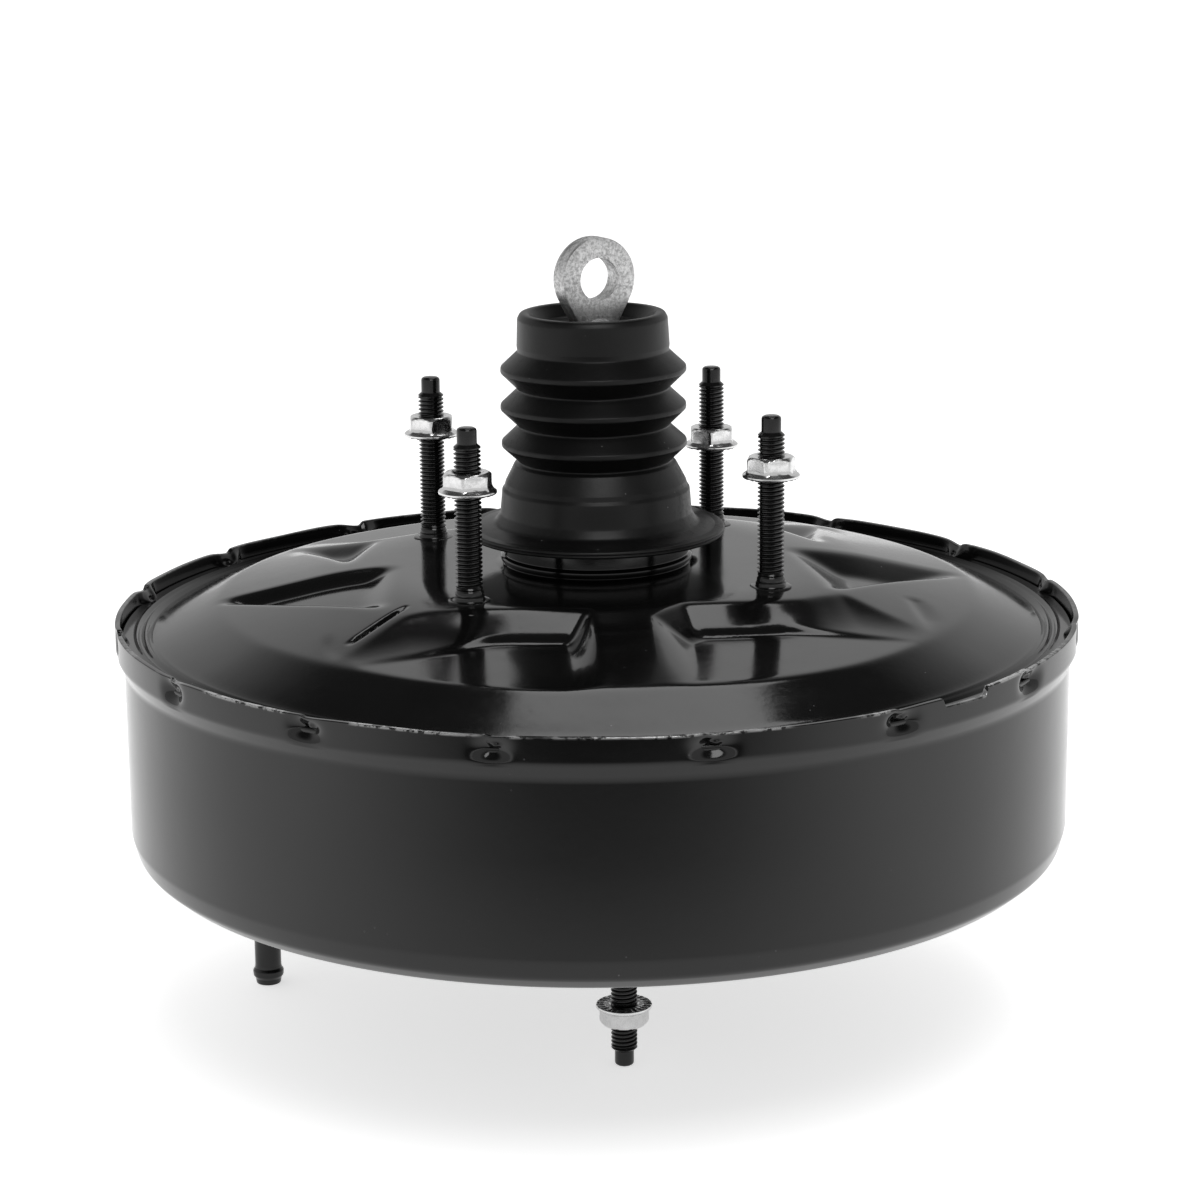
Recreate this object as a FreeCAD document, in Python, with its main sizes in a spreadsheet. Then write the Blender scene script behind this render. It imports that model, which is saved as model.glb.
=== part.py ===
import FreeCAD, Part
import os
import re
import Sketcher

# A single-diaphragm vacuum brake booster with an eye-type push rod.
# Millimetres. +Z points to the pedal. The origin is the centre of the four
# firewall studs on the face of the plateau they stand on.

SIZES = {
    # Sheet metal and the general clearances
    "wall": 1.6,
    "slack": 0.3,
    "running_gap": 0.1,
    "press_gap": 0.05,
    # Front shell, the deep pan
    "shell_r": 142.9,
    "band_step": 2.4,
    "band_low_z": -21.3,
    "rim_z": -13.8,
    "pan_z": -89.0,
    "corner_run": 21.4,
    "corner_rise": 9.5,
    "corner_round": 9.0,
    "knee_inset": 6.0,
    "knee_rise": 2.85,
    "cylinder_face_z": -95.4,
    "cylinder_face_r": 56.0,
    "cylinder_slope": 8.0,
    "pilot_r": 20.3,
    "pilot_depth": 11.4,
    "seal_pocket_r": 14.5,
    "seal_pocket_depth": 8.0,
    "rod_hole_r": 8.5,
    # Lances pressed in through the band to hold the rear shell
    "lance_count": 16,
    "lance_turn": 2.3,
    "lance_depth": 2.0,
    "lance_width": 7.0,
    "lance_height": 2.2,
    # Rear shell, the domed cover
    "stud_land": 10.0,
    "bend_z": -9.2,
    "slope_run": 19.4,
    "gutter": 9.7,
    "flange_z": -18.0,
    "flange_play": 0.4,
    "neck_r": 26.7,
    "neck_bead": 1.8,
    "neck_top_z": 19.6,
    "neck_mouth_play": 2.0,
    # Stamped pockets of the cover, each by the corners of its floor in plan
    "pocket_grow": 0.7,
    "pocket_reach": 14.0,
    # Face pockets, in front and behind: flat floor, steep walls, and a gentle bank outside
    "pocket_z": -8.6,
    "pocket_slant": 27.0,
    "face_pocket_near_right": 14.0,
    "face_pocket_near_left": 20.5,
    "face_pocket_far": 40.0,
    "face_pocket_land": 17.3,
    "face_pocket_inset_x": 37.4,
    "face_pocket_inset_y": 32.4,
    "face_pocket_spoke_right": 10.0,
    "face_pocket_spoke_left": 32.0,
    "face_pocket_over": 9.4,
    "bank_slope": 18.8,
    "bank_turn": 30.0,
    "bank_root_x": 22.0,
    "bank_root_y": 11.0,
    "bank_end_x": 50.0,
    "bank_end_y": 17.0,
    # Side pockets, left and right: three-cornered, the floor falling with the cone
    "side_pocket_depth": 4.75,
    "side_pocket_fall": 9.75,
    "side_pocket_slant": 52.0,
    "side_pocket_land": 23.55,
    "side_pocket_margin": 14.4,
    "side_pocket_half": 14.8,
    "side_pocket_ahead": 17.2,
    "side_pocket_tip_half": 0.8,
    "side_pocket_tip_right": 9.4,
    "side_pocket_tip_left": -1.4,
    # Corner pockets behind the side pockets
    "corner_pocket_z": -6.4,
    "corner_pocket_x": 73.0,
    "corner_pocket_y": 35.0,
    "corner_pocket_in_x": 3.6,
    "corner_pocket_in_y": 10.5,
    "corner_pocket_out_x": 3.5,
    "corner_pocket_out_y": 17.0,
    # Studs, M8 x 1.25 with a collar and a dog point
    "stud_span_x": 88.9,
    "stud_span_y": 86.4,
    "stud_len": 50.6,
    "collar_r": 4.15,
    "collar_len": 5.0,
    "thread_r": 3.9,
    "thread_depth": 0.65,
    "thread_pitch": 1.25,
    "thread_groove": 1.0,
    "thread_turns": 32,
    "dog_r": 2.95,
    "dog_len": 4.5,
    "shoulder_r": 6.15,
    "stud_head_r": 9.0,
    "stud_head_thick": 2.5,
    # Flange nuts and where each one stands on its stud
    "nut_across": 13.0,
    "nut_thick": 6.5,
    "nut_flange_r": 8.4,
    "nut_flange_thick": 1.1,
    "nut_flange_rise": 1.9,
    "nut_bore_r": 4.0,
    "nut_bevel": 0.8,
    "nut_right_front": 32.3,
    "nut_left_front": 31.3,
    "nut_left_rear": 32.1,
    "nut_right_rear": 25.1,
    "nut_cylinder": 31.1,
    # Reinforcement plates
    "rear_plate_thick": 2.0,
    "rear_plate_bore_r": 29.0,
    "front_plate_thick": 2.5,
    "front_plate_margin": 1.5,
    # Vacuum pipe
    "nipple_inset": 10.13,
    "nipple_turn": 154.24,
    "nipple_r": 4.2,
    "nipple_bore_r": 2.9,
    "nipple_tip_z": -146.0,
    "nipple_bead_r": 4.95,
    "nipple_bead_len": 3.0,
    "nipple_bead_ramp": 1.0,
    "nipple_bead_back": 2.0,
    "nipple_flange_r": 9.0,
    "nipple_flange_thick": 2.0,
    "nipple_swage_r": 5.6,
    "nipple_swage_thick": 1.2,
    # Dust boot
    "boot_wall": 1.5,
    "boot_foot_z": 9.0,
    "boot_flange_r": 38.9,
    "boot_flange_thick": 2.0,
    "boot_skirt_r": 28.9,
    "boot_skirt_z": 22.0,
    "boot_shoulder_z": 25.0,
    "boot_ridge_r": 27.7,
    "boot_valley_r": 23.7,
    "boot_ridge_z": 36.7,
    "boot_pitch": 11.15,
    "boot_flat": 1.3,
    "boot_fold": 4.2,
    "boot_cap_r": 22.4,
    "boot_cap_z": 76.0,
    "boot_dish": 4.5,
    "boot_lip": 3.0,
    "boot_hole_r": 8.0,
    # Valve body: tube, hub and bores
    "tube_r": 19.5,
    "tube_top_z": 45.0,
    "hub_step_r": 26.0,
    "hub_r": 36.0,
    "hub_z": -26.0,
    "spring_land_r": 23.5,
    "boss_r": 18.0,
    "boss_z": -30.0,
    "hub_end_z": -36.3,
    "reaction_bore_r": 12.5,
    "reaction_top_z": -22.5,
    "plunger_bore_r": 7.0,
    "chamber_r": 15.0,
    "chamber_z": -2.0,
    "seat_r": 10.8,
    "seat_wall": 1.5,
    "seat_z": 8.0,
    "ledge_z": 14.0,
    "mouth_r": 16.5,
    "passage_r": 1.2,
    "passage_at": 14.2,
    "passage_sweep": 120.0,
    "passage_count": 3,
    # Stop key through the tube
    "key_z": -8.0,
    "key_thick": 2.0,
    "key_half": 9.0,
    "key_reach": 24.0,
    "key_fork": 5.5,
    "key_back": 6.5,
    # Plunger and the ball of the push rod
    "plunger_r": 6.95,
    "plunger_neck_r": 5.2,
    "plunger_tip_gap": 1.4,
    "plunger_travel": 1.0,
    "plunger_head_r": 8.8,
    "plunger_head_z": -0.5,
    "plunger_rim_z": 7.6,
    "ball_z": 3.0,
    "ball_r": 4.5,
    "socket_gap": 0.2,
    "socket_lip_r": 4.1,
    "socket_lip": 1.2,
    # Push rod
    "rod_r": 5.2,
    "rod_neck_r": 3.4,
    "rod_neck_z": 12.0,
    "rod_top_z": 74.0,
    "rod_bevel": 1.3,
    "rod_collar_r": 6.4,
    "rod_collar_thick": 1.5,
    "eye_z": 86.0,
    "eye_r": 12.35,
    "eye_hole_r": 6.4,
    "eye_thick": 6.5,
    "eye_turn": 20.4,
    "eye_neck_half": 5.75,
    "eye_neck_z": 62.0,
    "eye_flare_z": 71.1,
    "eye_cheek_half": 10.6,
    "eye_cheek_z": 79.5,
    # Poppet, its retainer and both small springs
    "poppet_thick": 2.5,
    "poppet_hole_r": 7.6,
    "poppet_face_r": 13.0,
    "poppet_tube_in": 10.6,
    "poppet_tube_out": 12.1,
    "poppet_flange_thick": 2.0,
    "poppet_wire_r": 0.4,
    "poppet_coil_r": 8.7,
    "poppet_turns": 3,
    "retainer_thick": 1.0,
    "retainer_rise": 7.4,
    "input_wire_r": 0.65,
    "input_coil_r": 12.6,
    "input_turns": 5,
    "input_seat_z": 29.9,
    "input_seat_r": 13.8,
    "input_seat_thick": 1.2,
    # Air filter and silencer
    "filter_z": 33.2,
    "filter_len": 8.3,
    "silencer_len": 2.9,
    "filter_bore_r": 8.6,
    # Neck guide and seal
    "bearing_z": 2.0,
    "bearing_len": 7.0,
    "bearing_retainer_len": 2.9,
    "seal_lip": 1.6,
    # Diaphragm and plate
    "web_z": -15.0,
    "diaphragm_wall": 1.6,
    "bead_width": 4.5,
    "bead_low_z": -25.5,
    "roll_wall": 1.5,
    "roll_room": 21.2,
    "roll_z": -33.0,
    "roll_low_z": -39.5,
    "roll_slope": 6.0,
    "plate_wall": 1.5,
    "plate_play": 0.4,
    "plate_rim_z": -31.0,
    "clamp_r": 31.0,
    "clamp_thick": 1.5,
    # Output side
    "reaction_thick": 8.3,
    "output_head_thick": 3.5,
    "output_r": 6.0,
    "output_end_z": -92.0,
    "output_bore_r": 3.1,
    "output_bore_len": 12.0,
    "snap_thick": 1.1,
    "snap_bore_r": 8.0,
    "tip_r": 4.8,
    "tip_z": -97.0,
    "tip_round": 2.0,
    # Return spring
    "return_wire_r": 1.9,
    "return_coil_r": 27.0,
    "return_turns": 6,
    # Front seal
    "front_seal_len": 5.3,
    "front_retainer_len": 1.8,
}

# Radii and places that follow from the sizes
DERIVED = {
    "band_r": "shell_r + band_step",
    "pan_flat_r": "shell_r - corner_run",
    "foot_r": "band_r - wall - gutter",
    "bend_r": "foot_r - slope_run",
    "side_pocket_tip": "bend_r - side_pocket_margin",
    "face_pocket_corner_x": "bend_r - face_pocket_inset_x",
    "face_pocket_corner_y": "bend_r - face_pocket_inset_y",
    "face_pocket_end": "bend_r + face_pocket_over",
    "nipple_x": "(pan_flat_r - nipple_inset) * cos(nipple_turn)",
    "nipple_y": "(pan_flat_r - nipple_inset) * sin(nipple_turn)",
    "plateau_r": "sqrt(stud_span_x * stud_span_x + stud_span_y * stud_span_y) / 2 + stud_land",
    "side_pocket_root": "stud_span_x / 2 + side_pocket_land",
    "face_pocket_root": "stud_span_y / 2 + face_pocket_land",
    "neck_mouth_r": "tube_r + neck_mouth_play",
    "front_plate_r": "cylinder_face_r - front_plate_margin",
    "pan_room_r": "shell_r - wall - slack",
    "bead_in_r": "pan_room_r - bead_width",
    "plate_r": "pan_room_r - roll_room",
    "roll_in_r": "plate_r + plate_play",
}

doc = FreeCAD.newDocument("BrakeBooster")
sheet = doc.addObject("Spreadsheet::Sheet", "Sizes")
for row, (alias, number) in enumerate(SIZES.items(), start=1):
    sheet.set(f"A{row}", alias)
    sheet.set(f"B{row}", str(number))
    sheet.setAlias(f"B{row}", alias)
doc.recompute()

WORD = re.compile(r"[a-z][a-z_0-9]*")
FUNCTIONS = ("sqrt", "tan", "sin", "cos")


def spelled(formula):
    """The formula with each derived place written out in sizes."""
    while any(word in DERIVED for word in WORD.findall(formula)):
        formula = WORD.sub(lambda m: f"({DERIVED[m[0]]})" if m[0] in DERIVED else m[0], formula)
    return formula


def bound(formula):
    """The formula with each size written as a cell of the sheet."""
    return WORD.sub(lambda m: m[0] if m[0] in FUNCTIONS else f"Sizes.{m[0]}", spelled(formula))


def value(formula):
    """The number that a formula in the sheet's sizes comes to."""
    return float(sheet.evalExpression(spelled(formula)))


def tie(thing, prop, formula):
    thing.setExpression(prop, bound(formula))


def new_body(name):
    return doc.addObject("PartDesign::Body", name)


def origin_plane(body, role):
    return next(f for f in body.Origin.OriginFeatures if f.Role == role)


def new_sketch(body, name, role="XZ_Plane", level=None):
    """A sketch on one of the body's own origin planes, lifted off it by a formula."""
    sketch = body.newObject("Sketcher::SketchObject", name)
    sketch.AttachmentSupport = [(origin_plane(body, role), "")]
    sketch.MapMode = "FlatFace"
    if level is not None:
        tie(sketch, "AttachmentOffset.Base.z", level)
    return sketch


def draw_outline(sketch, corners):
    """A closed outline of straight lines, each corner tied to the sheet."""
    first = sketch.GeometryCount
    spots = [FreeCAD.Vector(value(x), value(y), 0) for x, y in corners]
    count = len(corners)
    for i in range(count):
        sketch.addGeometry(Part.LineSegment(spots[i], spots[(i + 1) % count]), False)
    for i in range(count):
        following = first + (i + 1) % count
        sketch.addConstraint(Sketcher.Constraint("Coincident", first + i, 2, following, 1))
    for i, (x, y) in enumerate(corners):
        for kind, formula in (("DistanceX", x), ("DistanceY", y)):
            rule = Sketcher.Constraint(kind, -1, 1, first + i, 1, value(formula))
            number = sketch.addConstraint(rule)
            tie(sketch, f"Constraints[{number}]", formula)


def draw_circle(sketch, x, y, radius):
    spot = FreeCAD.Vector(value(x), value(y), 0)
    circle = Part.Circle(spot, FreeCAD.Vector(0, 0, 1), value(radius))
    index = sketch.addGeometry(circle, False)
    number = sketch.addConstraint(Sketcher.Constraint("Radius", index, value(radius)))
    tie(sketch, f"Constraints[{number}]", radius)
    for kind, formula in (("DistanceX", x), ("DistanceY", y)):
        number = sketch.addConstraint(Sketcher.Constraint(kind, -1, 1, index, 3, value(formula)))
        tie(sketch, f"Constraints[{number}]", formula)


def turn(body, name, corners, cut=False):
    """Turns an outline of (radius, height) corners about the body's Z axis."""
    sketch = new_sketch(body, name + "_outline")
    draw_outline(sketch, corners)
    kind = "PartDesign::Groove" if cut else "PartDesign::Revolution"
    feature = body.newObject(kind, name)
    feature.Profile = sketch
    feature.ReferenceAxis = (sketch, ["V_Axis"])
    feature.Angle = 360
    body.Tip = feature
    return feature


def raise_sketch(body, name, sketch, length, cut=False, reverse=False, midplane=False):
    """A pad, or a pocket, of a sketch by a length formula."""
    feature = body.newObject("PartDesign::Pocket" if cut else "PartDesign::Pad", name)
    feature.Profile = sketch
    tie(feature, "Length", length)
    feature.Reversed = reverse
    feature.Midplane = midplane
    body.Tip = feature
    return feature


def drill(body, name, spots, radius, level, length):
    """Round holes at the spots, cut upward from a level."""
    sketch = new_sketch(body, name + "_outline", "XY_Plane", level)
    for x, y in spots:
        draw_circle(sketch, x, y, radius)
    return raise_sketch(body, name, sketch, length, cut=True, reverse=True)


def ring_edges(shape, rings):
    """Names of the circular edges about Z at the given (radius, height) formulas."""
    names = []
    for radius, height in rings:
        wanted_r, wanted_z = value(radius), value(height)
        for i, edge in enumerate(shape.Edges, start=1):
            curve = edge.Curve
            if not isinstance(curve, Part.Circle):
                continue
            centre = curve.Center
            off = abs(curve.Radius - wanted_r) + abs(centre.z - wanted_z)
            if off + abs(centre.x) + abs(centre.y) < 1e-3:
                names.append(f"Edge{i}")
    return names


def round_rings(body, name, rings, radius):
    """Rounds circular edges of the body's last feature."""
    doc.recompute()
    base = body.Tip
    feature = body.newObject("PartDesign::Fillet", name)
    feature.Base = (base, ring_edges(base.Shape, rings))
    tie(feature, "Radius", radius)
    body.Tip = feature
    return feature


def finish(thing, label):
    thing.Label = label
    return thing


def washer(label, inner, outer, low, high):
    """A plain ring between two heights."""
    body = new_body(label)
    turn(body, label + "_ring", [(inner, low), (outer, low), (outer, high), (inner, high)])
    return finish(body, label)


STUD_SPOTS = [
    (f"{sx} * stud_span_x / 2", f"{sy} * stud_span_y / 2") for sx in (-1, 1) for sy in (-1, 1)
]
CYLINDER_SPOTS = [("0", f"{sy} * stud_span_y / 2") for sy in (-1, 1)]
STUD_HOLE = "shoulder_r + press_gap"
# Deep enough to go right through one sheet from a wall below it
THROUGH = "4 * wall"


# Front shell
def make_front_shell():
    body = new_body("FrontShell")
    cup_z = "cylinder_face_z + pilot_depth"
    top_z = f"{cup_z} + seal_pocket_depth"
    knee = ("shell_r - knee_inset", "pan_z + knee_rise")
    knee_within = (f"{knee[0]} - wall / 2", f"{knee[1]} + wall")
    turn(body, "Pan", [
        ("rod_hole_r", top_z),
        ("seal_pocket_r", top_z),
        ("seal_pocket_r", cup_z),
        ("pilot_r", cup_z),
        ("pilot_r", "cylinder_face_z"),
        ("cylinder_face_r", "cylinder_face_z"),
        ("cylinder_face_r + cylinder_slope", "pan_z"),
        ("pan_flat_r", "pan_z"),
        knee,
        ("shell_r", "pan_z + corner_rise"),
        ("shell_r", "band_low_z - (band_r - shell_r)"),
        ("band_r", "band_low_z"),
        ("band_r", "rim_z"),
        ("band_r - wall", "rim_z"),
        ("band_r - wall", "band_low_z"),
        ("shell_r - wall", "band_low_z - (band_r - shell_r)"),
        ("shell_r - wall", "pan_z + corner_rise"),
        knee_within,
        ("pan_flat_r", "pan_z + wall"),
        ("cylinder_face_r + cylinder_slope", "pan_z + wall"),
        ("cylinder_face_r", "cylinder_face_z + wall"),
        ("pilot_r + wall", "cylinder_face_z + wall"),
        ("pilot_r + wall", f"{cup_z} + wall"),
        ("seal_pocket_r + wall", f"{cup_z} + wall"),
        ("seal_pocket_r + wall", f"{top_z} + wall"),
        ("rod_hole_r", f"{top_z} + wall"),
    ])
    round_rings(body, "KneeRound", [knee, knee_within], "corner_round")
    drill(body, "StudHoles", CYLINDER_SPOTS, STUD_HOLE, "cylinder_face_z - wall", THROUGH)
    nipple_spot = [("nipple_x", "nipple_y")]
    drill(body, "NippleHole", nipple_spot, "nipple_r + press_gap", "pan_z - wall", THROUGH)
    lance = new_sketch(body, "Lance_outline")
    upright = FreeCAD.Vector(0, 1, 0)
    lance.AttachmentOffset = FreeCAD.Placement(
        FreeCAD.Vector(0, 0, 0), FreeCAD.Rotation(upright, value("lance_turn")))
    tie(lance, "AttachmentOffset.Rotation.Angle", "lance_turn")
    low = "flange_z + slack"
    root = "band_r - wall / 2"
    tip = "band_r - wall - lance_depth"
    draw_outline(lance, [
        (root, low),
        (tip, low),
        (tip, f"{low} + lance_height / 2"),
        (root, f"{low} + lance_height"),
    ])
    tab = raise_sketch(body, "Lance", lance, "lance_width", midplane=True)
    lances = body.newObject("PartDesign::PolarPattern", "Lances")
    lances.Originals = [tab]
    lances.Axis = (lance, ["V_Axis"])
    lances.Angle = 360
    tie(lances, "Occurrences", "lance_count")
    body.Tip = lances
    return finish(body, "front_shell")


# Rear shell: an outer form less a cavity, each with its own depth of the same pockets
def stamp_pocket(body, name, corners, level, slant, side, spot=("0", "0"), tilt=None):
    """Cuts one pocket upward from its floor, whose corners are drawn about a spot.

    A tilt gives the floor's slope and the direction in plan of its level line.
    """
    sx, sy = side
    sketch = new_sketch(body, name + "_outline", "XY_Plane")
    if tilt is not None:
        angle, (along_x, along_y) = tilt
        level_line = FreeCAD.Vector(value(along_x), value(along_y), 0)
        sketch.AttachmentOffset = FreeCAD.Placement(
            FreeCAD.Vector(0, 0, 0), FreeCAD.Rotation(level_line, value(angle)))
        tie(sketch, "AttachmentOffset.Rotation.Axis.x", along_x)
        tie(sketch, "AttachmentOffset.Rotation.Axis.y", along_y)
        tie(sketch, "AttachmentOffset.Rotation.Angle", angle)
    for axis, formula in zip("xyz", (f"{sx} * {spot[0]}", f"{sy} * {spot[1]}", level)):
        tie(sketch, f"AttachmentOffset.Base.{axis}", formula)
    draw_outline(sketch, [(f"{sx} * {x}", f"{sy} * {y}") for x, y in corners])
    cut = raise_sketch(body, name, sketch, "pocket_reach", cut=True, reverse=True)
    if slant is not None:
        tie(cut, "TaperAngle", slant)


def stamp_face_pocket(body, word, side, sink, grow):
    """A flat-floored pocket beside a spoke, and the gentle bank that rises from its outer foot."""
    sx, sy = side
    name = f"Face{word.title()}{'Rear' if sy > 0 else 'Front'}"
    level = f"pocket_z - {sink}"
    foot = ("face_pocket_far", "face_pocket_root")
    stamp_pocket(body, name, [
        (f"(face_pocket_near_{word} - {grow})", f"(face_pocket_root - {grow})"),
        (f"(face_pocket_far + {grow} / 2)", f"(face_pocket_root - {grow})"),
        (f"(face_pocket_corner_x + {grow})", f"(face_pocket_corner_y - {grow} / 2)"),
        (f"(face_pocket_spoke_{word} - {grow})", f"(face_pocket_end + {grow})"),
    ], level, "pocket_slant", side)
    stamp_pocket(body, name + "Bank", [
        (f"-{grow}", f"-{grow}"),
        (f"(bank_root_x - {grow})", f"-(bank_root_y + {grow})"),
        (f"(bank_end_x + {grow})", f"(bank_end_y - {grow})"),
        ("(face_pocket_corner_x - face_pocket_far)", "(face_pocket_corner_y - face_pocket_root)"),
    ], level, None, side, foot, (
        f"{-sx * sy} * bank_slope", (f"{sx} * cos(bank_turn)", f"{sy} * sin(bank_turn)")))


def stamp_side_pocket(body, word, sx, sink, grow):
    """A three-cornered pocket whose floor falls outward as the cone does."""
    tip_x = f"(side_pocket_tip - side_pocket_root + {grow})"
    tip_y = f"side_pocket_ahead - side_pocket_tip_{word}"
    stamp_pocket(body, f"Side{word.title()}", [
        (f"-{grow}", f"(side_pocket_half + {grow})"),
        (f"-{grow}", f"-(side_pocket_half + {grow})"),
        (tip_x, f"({tip_y} - side_pocket_tip_half - {grow})"),
        (tip_x, f"({tip_y} + side_pocket_tip_half + {grow})"),
    ], f"-side_pocket_depth - {sink}", "side_pocket_slant", (sx, 1),
        ("side_pocket_root", "(-side_pocket_ahead)"), (f"{sx} * side_pocket_fall", ("0", "1")))


def stamp_corner_pocket(body, word, sx, sink, grow):
    """A small three-cornered pocket behind the side pocket."""
    stamp_pocket(body, f"Corner{word.title()}", [
        ("0", f"-{grow}"),
        (f"-(corner_pocket_in_x + {grow})", f"(corner_pocket_in_y + {grow})"),
        (f"(corner_pocket_out_x + {grow})", f"(corner_pocket_out_y + {grow})"),
    ], f"corner_pocket_z - {sink}", "side_pocket_slant", (sx, 1),
        ("corner_pocket_x", "corner_pocket_y"))


def stamp_pockets(body, sink, grow):
    """Cuts the star pockets, their floors lower by sink and their outlines wider by grow."""
    for word, sx in (("right", 1), ("left", -1)):
        for sy in (-1, 1):
            stamp_face_pocket(body, word, (sx, sy), sink, grow)
        stamp_side_pocket(body, word, sx, sink, grow)
        stamp_corner_pocket(body, word, sx, sink, grow)


def make_rear_shell():
    outer = new_body("RearOuter")
    turn(outer, "Dome", [
        ("neck_mouth_r", "flange_z - wall"),
        ("neck_mouth_r", "neck_top_z"),
        ("neck_r", "neck_top_z"),
        ("neck_r", "neck_bead"),
        ("neck_r + neck_bead", "0"),
        ("plateau_r", "0"),
        ("bend_r", "bend_z"),
        ("foot_r", "flange_z"),
        ("band_r - wall - flange_play", "flange_z"),
        ("band_r - wall - flange_play", "flange_z - wall"),
    ])
    stamp_pockets(outer, "0", "0")
    drill(outer, "StudHoles", STUD_SPOTS, STUD_HOLE, "-2 * wall", THROUGH)
    cavity = new_body("RearCavity")
    below = f"flange_z - {THROUGH}"
    turn(cavity, "Room", [
        ("0", below),
        ("0", "neck_top_z - wall"),
        ("neck_r - wall", "neck_top_z - wall"),
        ("neck_r - wall", "-wall"),
        ("plateau_r", "-wall"),
        ("bend_r", "bend_z - wall"),
        ("foot_r", "flange_z - wall"),
        ("foot_r", below),
    ])
    stamp_pockets(cavity, "wall", "pocket_grow")
    shell = doc.addObject("Part::Cut", "RearShell")
    shell.Base = outer
    shell.Tool = cavity
    return finish(shell, "rear_shell")


# Reinforcement plates
def make_rear_reinforcement():
    body = new_body("RearPlate")
    sketch = new_sketch(body, "Plate_outline", "XY_Plane", "-wall - rear_plate_thick")
    side_wall = "pocket_grow + side_pocket_depth * tan(side_pocket_slant) + slack"
    face_wall = "pocket_grow - pocket_z * tan(pocket_slant) + slack"
    half_x = f"(side_pocket_root - ({side_wall}))"
    half_y = f"(face_pocket_root - ({face_wall}))"
    reach = "(plateau_r - slack)"
    corner_x = f"sqrt({reach} * {reach} - {half_y} * {half_y})"
    corner_y = f"sqrt({reach} * {reach} - {half_x} * {half_x})"
    corners = []
    for sx, sy in ((1, 1), (-1, 1), (-1, -1), (1, -1)):
        upright = (f"{sx} * {half_x}", f"{sy} * {corner_y}")
        flat = (f"{sx} * {corner_x}", f"{sy} * {half_y}")
        corners += [upright, flat] if sx * sy > 0 else [flat, upright]
    draw_outline(sketch, corners)
    draw_circle(sketch, "0", "0", "rear_plate_bore_r")
    for x, y in STUD_SPOTS:
        draw_circle(sketch, x, y, STUD_HOLE)
    raise_sketch(body, "Plate", sketch, "rear_plate_thick")
    return finish(body, "rear_reinforcement")


def make_front_reinforcement():
    body = new_body("FrontPlate")
    sketch = new_sketch(body, "Plate_outline", "XY_Plane", "cylinder_face_z + wall")
    draw_circle(sketch, "0", "0", "front_plate_r")
    draw_circle(sketch, "0", "0", "pilot_r + wall + slack")
    for x, y in CYLINDER_SPOTS:
        draw_circle(sketch, x, y, STUD_HOLE)
    raise_sketch(body, "Plate", sketch, "front_plate_thick")
    return finish(body, "front_reinforcement")


# Studs
def make_stud(name, x, y, face_z, plate, downward):
    """A clinch stud: head behind the plate, shoulder through it, collar, thread, dog point."""
    body = new_body(name)
    depth = f"-wall - {plate}"
    thread_end = "stud_len - dog_len"
    turn(body, "Blank", [
        ("0", f"{depth} - stud_head_thick"),
        ("stud_head_r", f"{depth} - stud_head_thick"),
        ("stud_head_r", depth),
        ("shoulder_r", depth),
        ("shoulder_r", "0"),
        ("collar_r", "0"),
        ("collar_r", "collar_len"),
        ("thread_r", "collar_len"),
        ("thread_r", f"{thread_end} - thread_depth"),
        ("dog_r", thread_end),
        ("dog_r", "stud_len - thread_depth"),
        ("dog_r - thread_depth", "stud_len"),
        ("0", "stud_len"),
    ])
    start = "collar_len + slack"
    mouth_r = "thread_r + press_gap"
    valley = turn(body, "ThreadValley", [
        ("thread_r - thread_depth", f"{start} + thread_groove / 2"),
        (mouth_r, start),
        (mouth_r, f"{start} + thread_groove"),
    ], cut=True)
    thread = body.newObject("PartDesign::LinearPattern", "Thread")
    thread.Originals = [valley]
    thread.Direction = (valley.Profile[0], ["V_Axis"])
    tie(thread, "Length", "thread_pitch * (thread_turns - 1)")
    tie(thread, "Occurrences", "thread_turns")
    body.Tip = thread
    if downward:
        body.Placement = FreeCAD.Placement(
            FreeCAD.Vector(0, 0, 0), FreeCAD.Rotation(FreeCAD.Vector(1, 0, 0), 180))
    tie(body, "Placement.Base.x", x)
    tie(body, "Placement.Base.y", y)
    tie(body, "Placement.Base.z", face_z)
    return body


def group(label, members):
    """Like fasteners kept together as one sub-part of separate solids."""
    compound = doc.addObject("Part::Compound", label + "_group")
    compound.Links = members
    return finish(compound, label)


def make_firewall_studs():
    studs = [
        make_stud(f"FirewallStud{i}", x, y, "0", "rear_plate_thick", False)
        for i, (x, y) in enumerate(STUD_SPOTS, start=1)
    ]
    return group("firewall_studs", studs)


def make_cylinder_studs():
    studs = [
        make_stud(f"CylinderStud{i}", x, y, "cylinder_face_z", "front_plate_thick", True)
        for i, (x, y) in enumerate(CYLINDER_SPOTS, start=1)
    ]
    return group("master_cylinder_studs", studs)


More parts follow.
